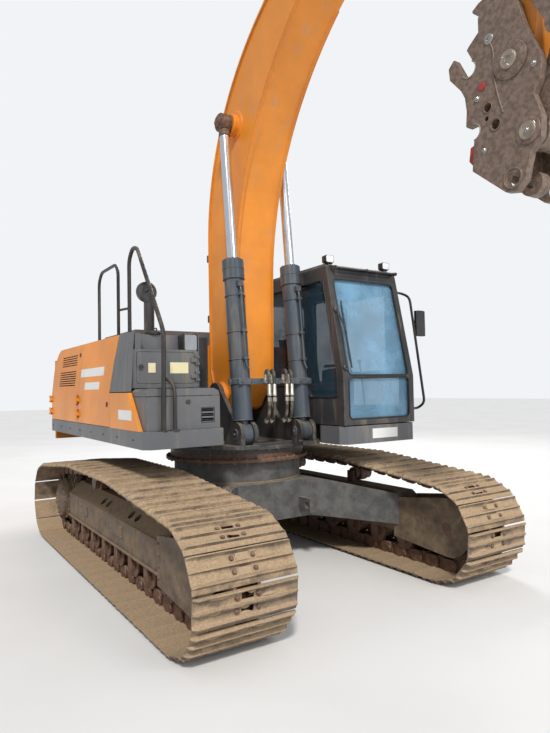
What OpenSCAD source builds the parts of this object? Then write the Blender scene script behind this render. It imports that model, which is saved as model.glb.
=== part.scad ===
// Crawler excavator, about 36 tonnes, with a pin-grabber quick coupler and no bucket.
// Machine frame used in the modules: X forward, Y to the cab side, Z up, origin on the
// swing axis at ground level. place() moves it so that the origin is under the middle.

/* [Undercarriage] */
// Distance between the idler and sprocket centres
track_base = 4040; // [3800:10:4300]
// Distance between the middles of the two tracks
track_gauge = 2600; // [2500:10:2800]
// Width of a track shoe
shoe_w = 800; // [700:10:850]
// Number of shoes in each track
shoe_count = 48; // [46:1:50]
// Height of the grousers above the shoe plate
grouser_h = 32; // [20:1:40]
// Thickness of the shoe plate
shoe_t = 14; // [10:1:20]
// Radius at which the chain pins run round the idler and sprocket
pin_r = 366; // [350:1:380]
// Half height of a chain link
link_h = 58; // [50:1:62]
// Number of bottom rollers on each side
roller_count = 8; // [7:1:9]
// Clear height under the centre frame
ground_clear = 480; // [440:5:520]

/* [Upper structure] */
// Height of the underside of the right deck
deck_z = 1326; // [1310:1:1340]
// Height of the deck skirts
deck_h = 150; // [120:1:160]
// Half width over the decks
deck_half_w = 1500; // [1450:5:1550]
// Front edge of the right deck ahead of the swing axis
deck_front = 1115; // [1080:5:1150]
// Radius swept by the tail
tail_r = 3550; // [3450:10:3650]
// Height of the counterweight's underside
tail_z = 1215; // [1180:5:1260]
// Height of the side panels' top edge
panel_top = 2370; // [2300:5:2420]
// Thickness of the body panels
panel_t = 40; // [30:1:50]

/* [Cab] */
// Front of the cab ahead of the swing axis
cab_front = 1300; // [1280:5:1330]
// Back of the cab
cab_back = -560; // [-600:5:-500]
// Inner side of the cab
cab_in = 500; // [490:5:510]
// Outer side of the cab
cab_out = 1480; // [1460:5:1490]
// Floor of the cab
cab_floor = 1440; // [1430:5:1450]
// Top of the cab roof
cab_top = 3130; // [3080:5:3180]
// Thickness of the cab's walls
cab_wall = 60; // [50:1:70]
// Thickness of the glass
glass_t = 8; // [5:1:10]

/* [Boom and arm] */
// Half width of the boom over its flanges
boom_half_w = 230; // [220:1:240]
// Length of the arm between its pins
arm_len = 3253; // [3150:1:3350]
// Half width of the arm at the tip
arm_half_w = 160; // [150:1:165]
// Outer radius of the boom cylinder tubes
boom_tube_r = 98; // [90:1:105]
// Radius of the boom cylinder rods
boom_rod_r = 52; // [45:1:60]
// Distance of the boom cylinders from the middle plane
boom_cyl_y = 355; // [353:1:358]
// Radius of the big hinge pins
hinge_pin_r = 55; // [50:1:60]
// Running clearance of a pin in its bore
pin_clear = 0.5; // [0.3:0.1:0.8]

/* [Hidden] */
$fn = 48;

// Place of the swing axis in the part's own frame
swing_x = -425;
// Clearance of a moving panel, and the seat of a loose piece on what carries it
gap = 5;
seat = 0.3;
orange = [0.80, 0.36, 0.08];
grey = [0.36, 0.38, 0.40];
dark = [0.13, 0.13, 0.14];
black = [0.06, 0.06, 0.06];
mud = [0.45, 0.38, 0.28];
rust = [0.33, 0.20, 0.13];
steel = [0.75, 0.77, 0.80];
red = [0.60, 0.10, 0.08];
glass = [0.45, 0.60, 0.70, 0.5];

module place() {
    translate([swing_x, 0, 0]) children();
}

// Outline drawn in the XZ plane, extruded across the machine from y0 to y1
module across(y0, y1) {
    translate([0, y1, 0]) rotate([90, 0, 0]) linear_extrude(y1 - y0) children();
}

// Outline drawn in the YZ plane, extruded along the machine from x0 to x1
module along(x0, x1) {
    translate([x0, 0, 0]) rotate([90, 0, 90]) linear_extrude(x1 - x0) children();
}

// Round bar across the machine at p = [x, z]
module bar_y(p, r, y0, y1) {
    translate([p[0], y1, p[1]]) rotate([90, 0, 0]) cylinder(r = r, h = y1 - y0);
}

// Box between two opposite corners
module box(a, b) {
    translate(a) cube(b - a);
}

module both_sides() {
    children();
    mirror([0, 1, 0]) children();
}

// Straight round bar from a to b
module rod(a, b, r) {
    d = b - a;
    translate(a) rotate([0, acos(d[2] / norm(d)), atan2(d[1], d[0])]) cylinder(r = r, h = norm(d));
}

// Bent round tube along a route, with each corner eased over a length of bend
module bent_tube(route, r, bend = 80, sides = 10) {
    p = eased(route, bend);
    t = tangents(p);
    n = carried(t);
    last = len(p) - 1;
    polyhedron(
        points = [for (i = [0 : last]) for (k = [0 : sides - 1])
            p[i] + r * (cos(k * 360 / sides) * n[i] + sin(k * 360 / sides) * cross(t[i], n[i]))],
        faces = concat(
            [[for (k = [0 : sides - 1]) k]],
            [[for (k = [sides - 1 : -1 : 0]) last * sides + k]],
            [for (i = [0 : last - 1]) for (k = [0 : sides - 1]) each [
                [i * sides + k, (i + 1) * sides + k, i * sides + (k + 1) % sides],
                [(i + 1) * sides + k, (i + 1) * sides + (k + 1) % sides, i * sides + (k + 1) % sides]]]));
}

function unit(v) = v / norm(v);
// Route with each inner corner replaced by a short curve
function eased(route, bend, steps = 3) = let (last = len(route) - 1) [
    route[0],
    for (i = [1 : last - 1]) let (a = route[i - 1] - route[i], c = route[i + 1] - route[i],
        reach = min(bend, norm(a) * 0.45, norm(c) * 0.45), p0 = route[i] + reach * unit(a), p1 = route[i]
            + reach * unit(c))
        for (k = [0 : steps]) let (u = k / steps) (1 - u) * (1 - u) * p0 + 2 * u * (1 - u) * route[i]
            + u * u * p1,
    route[last]];
function tangents(p) = let (last = len(p) - 1) [for (i = [0 : last])
    unit((i > 0 ? unit(p[i] - p[i - 1]) : [0, 0, 0]) + (i < last ? unit(p[i + 1] - p[i]) : [0, 0, 0]))];
function across_t(n, t) = unit(n - (n * t) * t);
function start_normal(t) = across_t(abs(t[1]) < 0.8 ? [0, 1, 0] : [1, 0, 0], t);
function carried(t) = [for (i = 0, n = start_normal(t[0]); i < len(t); i = i + 1,
    n = i < len(t) ? across_t(n, t[i]) : n) n];

function polar(c, r, a) = [c[0] + r * cos(a), c[1] + r * sin(a)];
function arc(c, r, a0, a1, n) = [for (i = [0 : n]) polar(c, r, a0 + (a1 - a0) * i / n)];
function dir(a, b) = (b - a) / norm(b - a);
function side(v) = [-v[1], v[0]];
function dir_angle(v) = atan2(v[1], v[0]);

// Chain loop: circles that the pins run round, counter-clockwise, as [x, z, radius]
shoe_tip = link_h + shoe_t + grouser_h;
wheel_z = pin_r + shoe_tip;
carrier_r = 72;
carrier_top_z = 903;
carrier_x = [600, -700];
carrier_z = carrier_top_z - carrier_r;
loop_circles = [
    [track_base / 2, wheel_z, pin_r],
    [carrier_x[0], carrier_z, carrier_r + link_h],
    [carrier_x[1], carrier_z, carrier_r + link_h],
    [-track_base / 2, wheel_z, pin_r]];
function loop_c(i) = loop_circles[(i + 4) % 4];
function loop_to(i) = [loop_c(i + 1)[0] - loop_c(i)[0], loop_c(i + 1)[1] - loop_c(i)[1]];
function up_to(a, low) = a < low ? up_to(a + 360, low) : a >= low + 360 ? up_to(a - 360, low) : a;
// Direction of the outward normal where the loop leaves circle i
function leave_a(i) = dir_angle(loop_to(i)) - acos((loop_c(i)[2] - loop_c(i + 1)[2]) / norm(loop_to(i)));
function turn_a(i) = up_to(leave_a(i) - leave_a(i - 1), -1);
function on_circle(i, a) = polar([loop_c(i)[0], loop_c(i)[1]], loop_c(i)[2], a);
function arc_len(i) = loop_c(i)[2] * turn_a(i) * PI / 180;
function line_len(i) = norm(on_circle(i + 1, leave_a(i)) - on_circle(i, leave_a(i)));
function start_of(i) = i == 0 ? 0 : start_of(i - 1) + arc_len(i - 1) + line_len(i - 1);
loop_starts = [for (i = [0 : 4]) start_of(i)];
loop_len = loop_starts[4];
function stretch_of(s) = s < loop_starts[1] ? 0 : s < loop_starts[2] ? 1 : s < loop_starts[3] ? 2 : 3;
function stretch_pt(i, s) = s < arc_len(i)
    ? on_circle(i, leave_a(i - 1) + s / arc_len(i) * turn_a(i))
    : on_circle(i, leave_a(i)) + (s - arc_len(i)) * dir(on_circle(i, leave_a(i)),
        on_circle(i + 1, leave_a(i)));
function loop_pt(s) = stretch_pt(stretch_of(s), s - loop_starts[stretch_of(s)]);
pins = [for (j = [0 : shoe_count - 1]) loop_pt(loop_len * j / shoe_count)];
function pin_at(j) = pins[(j + shoe_count) % shoe_count];
// Unit vector along link j, and its outward normal
function link_dir(j) = dir(pin_at(j), pin_at(j + 1));
function link_out(j) = -side(link_dir(j));
// Corner of the chain's outline at pin j, h outside the pin line
function corner(j, h) = let (b = link_out(j - 1) + link_out(j), u = b / norm(b))
    pin_at(j) + u * h / (u * link_out(j));
function shoe_pt(j, u, h) = pin_at(j) + link_dir(j) * u + link_out(j) * h;
shoe_gap = 6;
grouser_w = 26;
shoe_low = link_h + 3;
// Outline of one shoe, with its three grousers
function shoe_outline(j) = let (p = norm(pin_at(j + 1) - pin_at(j)), m = p / 2,
    base = link_h + shoe_t, tip = shoe_tip) [
    shoe_pt(j, shoe_gap, shoe_low), shoe_pt(j, shoe_gap, tip), shoe_pt(j, shoe_gap + grouser_w, base),
    shoe_pt(j, m - grouser_w / 2, base), shoe_pt(j, m, tip), shoe_pt(j, m + grouser_w / 2, base),
    shoe_pt(j, p - shoe_gap - grouser_w, base), shoe_pt(j, p - shoe_gap, tip),
    shoe_pt(j, p - shoe_gap, shoe_low)];
rail_in = 60;
rail_out = 105;

// Track side frame, measured from the middle of its track
frame_half_w = 165;
frame_low = 330;
frame_top = 740;
frame_slope_low = 610;
frame_slope_in = 20;
channel_h = 70;
plate_t = 40;
frame_rear = -1560;
frame_front = 1400;
guard_t = 20;
guard_r = 275;
guard_back = 1320;
roller_r = 95;
roller_z = wheel_z - pin_r + link_h + roller_r + seat;
roller_span = 2800;

// Turntable
tub_r = 700;
tub_top = 1085;
body_top = 870;
race_r = 740;
flange_r = 790;
flange_h = 30;
race_low = [tub_top, 1165];
race_high = [1165.5, 1240];

// Upper frame
floor_z = 1240;
floor_t = 35;
beam_in = 255;
beam_out = 300;
ear_in = 410;
ear_out = 450;
floor_half_w = 620;
floor_front = 930;
bay_front = 740;
foot_p = [50, 1750];
foot_r = 150;
cyl_foot = [780, 1380];
cyl_foot_r = 122;
house_back = -2330;
beam_rear_z = 1380;

// Boom
boom_x_front = 450;
boom_x_back = -190;
boom_front_r = 3000;
boom_front_z = 2930;
boom_front_t = 54;
boom_back_r = 2400;
boom_back_z = 3500;
boom_back_t = 60;
nose_p = [3900, 6980];
nose_r = 165;
boom_flange = 22;
rod_pin = [460, 4630];
arm_cyl_foot = [1230, 6040];

// Arm: u runs from the nose pin to the tip, v towards the outer side
arm_tilt = -92.5;
arm_u = [cos(arm_tilt), sin(arm_tilt)];
arm_v = side(arm_u);
function arm_pt(u, v) = nose_p + u * arm_u + v * arm_v;
tip_p = arm_pt(arm_len, 0);
tip_r = 110;
arm_tail = arm_pt(-830, 340);
link_foot = arm_pt(330, 430);
rocker_p = arm_pt(arm_len - 640, 0);
link_p = tip_p + [100, -460];
rocker_len = 610;
tipping_len = 600;
// Knee of the linkage: where the rocker meets the tipping link
knee_d = norm(link_p - rocker_p);
knee_a = (rocker_len * rocker_len - tipping_len * tipping_len + knee_d * knee_d) / (2 * knee_d);
knee_p = rocker_p + knee_a * dir(rocker_p, link_p)
    + sqrt(rocker_len * rocker_len - knee_a * knee_a) * side(dir(rocker_p, link_p));

// Undercarriage

eye_r = 35;
eye_x = 900;
eye_z = 620;
eye_y = 330;

module body_plan() {
    corners = [[760, 420], [1400, 1115], [820, 1115], [430, 720], [-430, 720], [-820, 1115],
        [-1400, 1115], [-760, 420]];
    polygon(concat(corners, [for (i = [7 : -1 : 0]) [corners[i][0], -corners[i][1]]]));
}

module body_section() {
    reach = track_gauge / 2 - frame_half_w;
    half = [[reach, 400], [500, ground_clear], [-500, ground_clear], [-reach, 400]];
    polygon(concat(half, [[-reach, frame_top - 30], [-520, body_top], [520, body_top],
        [reach, frame_top - 30]]));
}

module carbody() {
    color(mud) place() difference() {
        union() {
            intersection() {
                translate([0, 0, 300]) linear_extrude(700) body_plan();
                along(-1500, 1500) body_section();
            }
            translate([0, 0, body_top - 20]) cylinder(r = tub_r, h = tub_top - body_top + 20, $fn = 96);
            for (s = [-1, 1]) for (x = [-1, 1])
                translate([x * (eye_x - 60), s * eye_y - 25, eye_z - 70]) mirror([x < 0 ? 1 : 0, 0, 0])
                    translate([-180, 0, 0]) cube([300, 50, 140]);
        }
        translate([0, 0, ground_clear - 10]) cylinder(r = 260, h = tub_top, $fn = 64);
        translate([0, 0, body_top]) cylinder(r = tub_r - 40, h = tub_top, $fn = 96);
        for (x = [-1, 1]) bar_y([x * eye_x, eye_z], eye_r, -eye_y - 60, eye_y + 60);
    }
}

module slew_ring() {
    color(rust) place() rotate_extrude($fn = 96) polygon([
        [race_r - 160, race_low[0]], [flange_r, race_low[0]], [flange_r, race_low[0] + flange_h],
        [race_r, race_low[0] + flange_h], [race_r, race_low[1]], [race_r - 160, race_low[1]]]);
}

module frame_section() {
    h = frame_half_w;
    difference() {
        polygon([[-h, frame_low], [-h, frame_top], [frame_slope_in, frame_top], [h, frame_slope_low],
            [h, frame_low]]);
        translate([-h + plate_t, frame_low - 1]) square([2 * (h - plate_t), channel_h + 1]);
    }
}

module guard_plate() {
    c = [track_base / 2, wheel_z + 15];
    translate(c) circle(r = guard_r, $fn = 96);
    polygon([[guard_back, c[1] - guard_r + 60], [c[0], c[1] - guard_r], [c[0], c[1] + guard_r],
        [guard_back, frame_slope_low + 60]]);
}

// One track frame, drawn for the left side with its middle on the XZ plane
module side_frame() {
    slope_a = atan2(frame_half_w - frame_slope_in, frame_top - frame_slope_low);
    motor_c = [-track_base / 2, wheel_z];
    difference() {
        along(frame_rear, frame_front) frame_section();
        for (x = [-300, 550])
            translate([x, (frame_half_w + frame_slope_in) / 2, (frame_top + frame_slope_low) / 2])
                rotate([slope_a - 90, 0, 0]) for (e = [-85, 85]) translate([e, 0, -50])
                    cylinder(r = 45, h = 60);
    }
    for (y = [[frame_half_w, frame_half_w + guard_t], [-frame_half_w - guard_t, -frame_half_w]])
        difference() {
            across(y[0], y[1]) guard_plate();
            bar_y([track_base / 2, wheel_z], 62, y[0] - 1, y[1] + 1);
        }
    across(-frame_half_w, -frame_half_w + plate_t) {
        translate(motor_c) circle(r = 265, $fn = 96);
        polygon([[motor_c[0], motor_c[1] - 230], [motor_c[0], motor_c[1] + 230], [frame_rear + 5, 680],
            [frame_rear + 5, frame_low]]);
    }
}

module at_side(s) {
    translate([0, s * track_gauge / 2, 0]) mirror([0, s < 0 ? 1 : 0, 0]) children();
}

module track_frames() {
    color(mud) place() for (s = [-1, 1]) at_side(s) side_frame();
}

// Shoes round the loop, fused with the two rails of the chain
module track_loop() {
    across(-shoe_w / 2, shoe_w / 2) difference() {
        polygon([for (j = [0 : shoe_count - 1]) each shoe_outline(j)]);
        polygon([for (j = [0 : shoe_count - 1]) corner(j, link_h)]);
    }
    for (y = [rail_in, -rail_out]) across(y, y + rail_out - rail_in) difference() {
        polygon([for (j = [0 : shoe_count - 1]) corner(j, link_h + shoe_t / 2)]);
        polygon([for (j = [0 : shoe_count - 1]) corner(j, -link_h)]);
    }
}

module track_right() {
    color(mud) place() at_side(-1) track_loop();
}

module track_left() {
    color(mud) place() at_side(1) track_loop();
}

// Radius inside the chain where it bends round a wheel
chain_in_r = (pin_r * cos(asin(loop_len / shoe_count / 2 / pin_r))) - link_h;

module idlers() {
    color(rust) place() for (s = [-1, 1]) at_side(s) translate([track_base / 2, 0, wheel_z])
        rotate([90, 0, 0])
        rotate_extrude($fn = 96) polygon([[0, -frame_half_w - guard_t], [60, -frame_half_w - guard_t],
            [60, -frame_half_w + 20], [120, -frame_half_w + 25], [120, -70], [chain_in_r - 0.5, -108],
            [chain_in_r - 0.5, -52], [chain_in_r + 30, -46], [chain_in_r + 30, 46], [chain_in_r - 0.5, 52],
            [chain_in_r - 0.5, 108], [120, 70], [120, frame_half_w - 25], [60, frame_half_w - 20],
            [60, frame_half_w + guard_t], [0, frame_half_w + guard_t]]);
}

tooth_count = 21;

module sprockets() {
    root = chain_in_r - 25;
    tip = pin_r + 20;
    inner = -frame_half_w + plate_t;
    color(rust) place() for (s = [-1, 1]) at_side(s) translate([-track_base / 2, 0, wheel_z]) {
        across(-38, 38) polygon([for (i = [0 : tooth_count - 1]) each
            [for (k = [[-0.32, root], [-0.14, tip], [0.14, tip], [0.32, root]])
                polar([0, 0], k[1], (i + k[0]) * 360 / tooth_count)]]);
        rotate([90, 0, 0]) rotate_extrude($fn = 96) polygon([[0, -205], [90, -205], [110, -195],
            [180, -175],
            [215, -160], [230, -120], [250, -115], [250, -60], [265, -55], [265, 30], [220, 40],
            [220, -inner], [0, -inner]]);
    }
}

module bottom_rollers() {
    step = roller_span / (roller_count - 1);
    color(rust) place() for (s = [-1, 1]) at_side(s) for (i = [0 : roller_count - 1])
        translate([-roller_span / 2 + i * step, 0, roller_z]) {
            rotate([90, 0, 0]) rotate_extrude() polygon([[0, -130], [45, -130], [45, -122], [112, -122],
                [112, -108], [roller_r, -107], [roller_r, -56], [80, -52], [80, 52], [roller_r, 56],
                [roller_r, 107], [112, 108], [112, 122], [45, 122], [45, 130], [0, 130]]);
            for (y = [-frame_half_w, 129]) translate([-45, y, -35])
                cube([90, 36, frame_low - roller_z + 35]);
        }
}

// Height of the chain's inner face over a point near its top run
function chain_over(c) = min([for (j = [0 : shoe_count - 1])
    if (abs(pin_at(j)[0] - c[0]) < 400 && link_out(j)[1] > 0.5) (pin_at(j) - c) * link_out(j)]) - link_h;

module carrier_rollers() {
    color(rust) place() for (s = [-1, 1]) at_side(s) for (x = carrier_x) translate([x, 0, carrier_z]) {
        r = chain_over([x, carrier_z]) - 0.5;
        rotate([90, 0, 0]) rotate_extrude() polygon([[0, -115], [r, -115], [r, -55], [r + 14, -50],
            [r + 14, 50], [r, 55], [r, 115], [30, 118], [30, 150], [0, 150]]);
        translate([-50, -155, frame_top - carrier_z]) cube([100, 35, carrier_z - frame_top + 35]);
    }
}

module track_rollers() {
    bottom_rollers();
    carrier_rollers();
}

// Upper structure

module beam_outline() {
    polygon([[house_back, floor_z], [house_back, beam_rear_z], [-1250, beam_rear_z], [-420, 1760],
        [foot_p[0] - foot_r * 0.8, foot_p[1] + foot_r * 0.6],
            [foot_p[0] + foot_r * 0.9, foot_p[1] + foot_r * 0.4],
        [foot_p[0] + 420, 1500], [cyl_foot[0], cyl_foot[1] + 60], [cyl_foot[0] + 110, floor_z]]);
    translate(foot_p) circle(r = foot_r, $fn = 96);
    translate(cyl_foot) circle(r = cyl_foot_r, $fn = 96);
}

module ear_outline() {
    translate(cyl_foot) circle(r = cyl_foot_r, $fn = 96);
    polygon([[cyl_foot[0] - 260, floor_z], [cyl_foot[0] - 95, cyl_foot[1] + 70],
        [cyl_foot[0] + 100, cyl_foot[1] + 60],
        [cyl_foot[0] + 130, floor_z]]);
}

module main_frame() {
    color(dark) place() difference() {
        union() {
            translate([0, 0, floor_z]) linear_extrude(floor_t) polygon([[house_back, -floor_half_w],
                [700, -floor_half_w], [floor_front, -470], [floor_front, -beam_in],
                [bay_front, -beam_in], [bay_front, beam_in], [floor_front, beam_in], [floor_front, 470],
                [700, floor_half_w], [house_back, floor_half_w]]);
            translate([0, 0, race_high[0]]) cylinder(r = race_r, h = race_high[1] - race_high[0] + 1,
                $fn = 96);
            translate([0, 0, race_high[1] - flange_h]) cylinder(r = flange_r, h = flange_h, $fn = 96);
            both_sides() across(beam_in, beam_out) beam_outline();
            both_sides() across(ear_in, ear_out) ear_outline();
            for (x = bearer_x) box([x - 60, -deck_half_w + 320, floor_z + 5],
                [x + 60, -beam_out + 1, deck_z - seat]);
            along(-1100, -1080) translate([-beam_in - 1, floor_z]) square([2 * beam_in + 2, 180]);
        }
        translate([0, 0, race_high[0] - 1]) cylinder(r = race_r - 160, h = race_high[1] - race_high[0] - 20,
            $fn = 96);
        bar_y(foot_p, hinge_pin_r + pin_clear, -beam_out - 1, beam_out + 1);
        bar_y(cyl_foot, hinge_pin_r + pin_clear, -ear_out - 1, ear_out + 1);
    }
}

// Places of the outriggers under the right deck
bearer_x = [-1900, -900, 100];

// Deck tray: plate on top, skirts round it and bearers that reach the upper frame
module deck_tray(plan, z, bearers, y_in) {
    top_t = 12;
    difference() {
        translate([0, 0, z]) linear_extrude(deck_h) polygon(plan);
        translate([0, 0, z - 1]) linear_extrude(deck_h - top_t + 1) polygon(inset_plan(plan, 14));
    }
    for (x = bearers) box([x - 40, -deck_half_w + 10, z], [x + 40, y_in, z + deck_h - top_t + 1]);
}

// Plan moved in by t on every side, for a convex outline listed counter-clockwise
function inset_plan(p, t) = let (n = len(p)) [for (i = [0 : n - 1])
    let (a = dir(p[(i + n - 1) % n], p[i]), b = dir(p[i], p[(i + 1) % n]), m = side(a) + side(b),
        u = m / norm(m))
    p[i] + u * t / (u * side(b))];

module deck_right() {
    plan = [[house_back, -deck_half_w], [deck_front - 60, -deck_half_w], [deck_front, -deck_half_w + 60],
        [deck_front, -760], [720, -floor_half_w - seat], [house_back, -floor_half_w - seat]];
    color(grey) place() deck_tray(plan, deck_z, bearer_x, -floor_half_w - seat);
}

left_deck_z = 1250;

module deck_left() {
    plan = [[house_back, floor_half_w + seat], [720, floor_half_w + seat], [930, 480],
        [cab_front - 60, 480],
        [cab_front + 10, 540], [cab_front + 10, deck_half_w - 60], [cab_front - 50, deck_half_w],
        [house_back, deck_half_w]];
    // Round mounts under the cab
    color(grey) place() for (x = [-400, 1130]) for (y = [620, 1370])
        translate([x, y, cab_floor - 15]) cylinder(r = 60, h = 15 - seat);
    color(grey) place() difference() {
        translate([0, 0, left_deck_z]) linear_extrude(cab_floor - left_deck_z - 10) polygon(plan);
        translate([0, 0, left_deck_z - 1]) linear_extrude(cab_floor - left_deck_z - 21)
            polygon([[house_back + 14, floor_half_w + 15], [700, floor_half_w + 15], [900, 520],
                [cab_front - 30, 520],
                [cab_front - 30, deck_half_w - 40], [house_back + 14, deck_half_w - 14]]);
    }
}

tail_half_w = 1450;

module tail_plan() {
    intersection() {
        translate([-tail_r - 10, -deck_half_w + 10]) square([tail_r + 10 + house_back - seat,
            2 * deck_half_w - 20]);
        circle(r = tail_r, $fn = 180);
        for (s = [-1, 1]) translate([house_back - 20, s * 110]) circle(r = 1600, $fn = 120);
        // Sides that draw in towards the back
        polygon([[house_back + 10, tail_half_w], [-2420, tail_half_w - 10], [-3700, 1090], [-3700, -1090],
            [-2420, 10 - tail_half_w], [house_back + 10, -tail_half_w]]);
    }
}

module counterweight() {
    color(orange) place() both_sides() side_hinges(house_back)
        hinge_fixed(60, 30, door_axis_y - tail_half_w + 12);
    color(orange) place() difference() {
        translate([0, 0, tail_z]) linear_extrude(panel_top - 120 - tail_z) tail_plan();
        across(-1600, 1600) polygon([[-tail_r - 20, tail_z - 10], [-tail_r + 150, tail_z - 10],
            [-tail_r - 20, tail_z + 230]]);
        across(-1600, 1600) polygon([[-tail_r - 20, 2260], [-tail_r - 20, 1950], [-tail_r + 60, 2110],
            [-tail_r + 260, 2260]]);
        for (s = [-1, 1]) translate([-2950, s * 700, panel_top - 260]) cylinder(r = 40, h = 200);
    }
}

module engine_block() {
    low = beam_rear_z + 70;
    color(dark) place() {
        box([-2150, -500, low], [-1350, 600, 2150]);
        for (x = [-2050, -1450]) for (y = [-400, 500])
            translate([x, y, floor_z + floor_t + seat]) cylinder(r = 60, h = low - floor_z - floor_t);
    }
}

// Hinge drawn with its pin along Z: the fixed half reaches to -X and the moving half to +X, and
// each has a foot that goes down along -Y to the face that carries it
hinge_r = 12;
hinge_pin = 7;
knuckle = 20;
knuckle_end = 45;

module hinge_fixed(reach, foot_w, down) {
    for (z = [-knuckle_end, knuckle + 2]) translate([0, 0, z]) {
        cylinder(r = hinge_r, h = knuckle_end - knuckle - 2);
        box([-reach, -hinge_r / 2, 0], [0, hinge_r / 2, knuckle_end - knuckle - 2]);
        box([-reach, -down - 1, 0], [foot_w - reach, hinge_r / 2, knuckle_end - knuckle - 2]);
    }
    translate([0, 0, -knuckle_end]) cylinder(r = hinge_pin, h = 2 * knuckle_end);
}

module hinge_moving(reach, foot_w, down) {
    difference() {
        union() {
            translate([0, 0, -knuckle]) cylinder(r = hinge_r, h = 2 * knuckle);
            box([0, -hinge_r / 2 + 1, -knuckle], [reach, hinge_r / 2 - 1, knuckle]);
            box([reach - foot_w, -down - 1, -knuckle], [reach, hinge_r / 2 - 1, knuckle]);
        }
        translate([0, 0, -knuckle - 1]) cylinder(r = hinge_pin + 0.4, h = 2 * knuckle + 2);
    }
}

// Side door hinges stand outside the panel at x, on the right side
door_axis_y = deck_half_w + hinge_r + 7;
door_hinges = [1580, 1740];

module side_hinges(x) {
    for (z = door_hinges) translate([x, -door_axis_y, z]) rotate([180, 0, 0]) children();
}

// Body panels. A side wall leans in above waist_z; its section is in the YZ plane.
waist_z = 1800;
lean_in = 60;
deck_top = deck_z + deck_h;
wall_low = deck_top + seat;
door_low = deck_top + gap;
seam = 8;
seam_rear = -1000;
seam_mid = 150;
tank_front = 620;
tank_in = -500;
fuel_in = -745;

module wall_section(low) {
    y = -deck_half_w;
    polygon([[y, low], [y + panel_t, low], [y + panel_t, waist_z], [y + panel_t + lean_in, panel_top],
        [y + lean_in, panel_top], [y, waist_z]]);
}

module wall_piece(low = wall_low) {
    intersection() {
        across(-deck_half_w - 10, -deck_half_w + panel_t + lean_in + 10) children();
        along(house_back - 100, deck_front) wall_section(low);
    }
}

// Louvre field: rows of slots in the XZ plane between two corners
module louvres(x0, x1, z0, z1, step) {
    n = floor((z1 - z0) / step);
    for (i = [0 : n - 1]) translate([x0, z0 + i * step]) square([x1 - x0, step * 0.45]);
}

module rear_outline(low) {
    round_c = [house_back + 345, panel_top - 340];
    polygon(concat([[seam_rear - seam / 2, low], [seam_rear - seam / 2, panel_top + 1]],
        arc(round_c, 341, 90, 180, 12), [[house_back + 4, low]]));
}

module door_right_rear() {
    color(orange) place() {
        wall_piece(door_low) difference() {
            rear_outline(door_low);
            louvres(-1900, -1180, 2140, 2300, 27);
            louvres(-1960, -1180, 1900, 2110, 27);
            // Notches that clear the middle door's hinges
            for (z = door_hinges) translate([seam_rear - 70, z - knuckle_end - gap])
                square([80, 2 * (knuckle_end + gap)]);
        }
        side_hinges(house_back) hinge_moving(60, 30, door_axis_y - deck_half_w);
    }
}

module door_right_mid() {
    color(orange) place() {
        wall_piece(door_low) polygon([[seam_rear + seam / 2, door_low],
            [seam_mid - seam / 2, door_low], [seam_mid - seam / 2, waist_z], [seam_mid + 60, 2100],
            [seam_mid + 145, panel_top + 1], [seam_rear + seam / 2, panel_top + 1]]);
        side_hinges(seam_rear) hinge_moving(60, 30, door_axis_y - deck_half_w);
    }
}

module door_left_rear() {
    low = cab_floor - 10 + gap;
    color(orange) place() mirror([0, 1, 0]) {
        wall_piece(low) difference() {
            rear_outline(low);
            louvres(-2100, -1180, 1840, 2250, 40);
        }
        side_hinges(house_back) hinge_moving(60, 30, door_axis_y - deck_half_w);
    }
}

tank_top = panel_top - 5;

module fuel_tank() {
    low = wall_low;
    out = -deck_half_w + panel_t + lean_in + 5;
    color(grey) place() {
        difference() {
            box([seam_mid + 160, out, low], [tank_front - 20, fuel_in, tank_top]);
            box([tank_front - 150, out + 60, 2215], [tank_front, fuel_in - 85, tank_top + 1]);
        }
        along(tank_front - 20, tank_front) difference() {
            polygon([[-1475, 1850], [-780, 1850], [-755, 1880], [-755, 2180], [-785, 2212], [-1425, 2212],
                [-1440, 2180]]);
            round_rect([tank_door_y[0] - 3, 1890], [tank_door_y[1] + 5, 2190], 28);
        }
        wall_piece(waist_z + 20) polygon([[seam_mid + seam / 2, 1820], [676, 1820], [tank_front, 2215],
            [tank_front - 10, panel_top + 1], [seam_mid + 155, panel_top + 1], [seam_mid + 68, 2100]]);
        box([seam_mid + 160, -deck_half_w + panel_t - 1, 1900], [tank_front - 60, out + 1, 2000]);
        for (z = tank_hinges) tank_hinge(z) hinge_fixed(33, 20, 16);
    }
}

// Outer and inner edges of the tank door, and the heights of its hinges
tank_door_y = [-1385, -802];
tank_hinges = [1960, 2115];

module tank_hinge(z) {
    translate([tank_front + hinge_r + 4, tank_door_y[1] + 12, z]) rotate([0, 0, -90]) children();
}

module tank_door() {
    color(grey) place() {
        along(tank_front - 17, tank_front + 3) round_rect([tank_door_y[0], 1893], [tank_door_y[1], 2187],
            25);
        translate([tank_front + 3, -1350, 2050]) rotate([0, 90, 0]) cylinder(r = 32, h = 8);
        for (z = tank_hinges) tank_hinge(z) hinge_moving(55, 30, 14);
    }
}

module side_panel_right() {
    color(orange) place() wall_piece() polygon([[seam_mid + seam / 2, wall_low], [970, wall_low],
        [690, 1812], [seam_mid + seam / 2, 1812]]);
}

module hydraulic_tank() {
    color(dark) place() {
        box([-560, -1380, deck_top + seat], [seam_mid + 150, tank_in, panel_top]);
        translate([-200, -900, panel_top - 1]) cylinder(r = 130, h = 30);
    }
}

toolbox_back = 640;
toolbox_front = 1050;
toolbox_out = -1455;
toolbox_in = -758;
toolbox_top = 1772;

lid_hinges = [-1250, -950];

module lid_hinge(y) {
    translate([toolbox_back, y, toolbox_top + 64]) rotate([90, 0, 0]) children();
}

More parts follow.
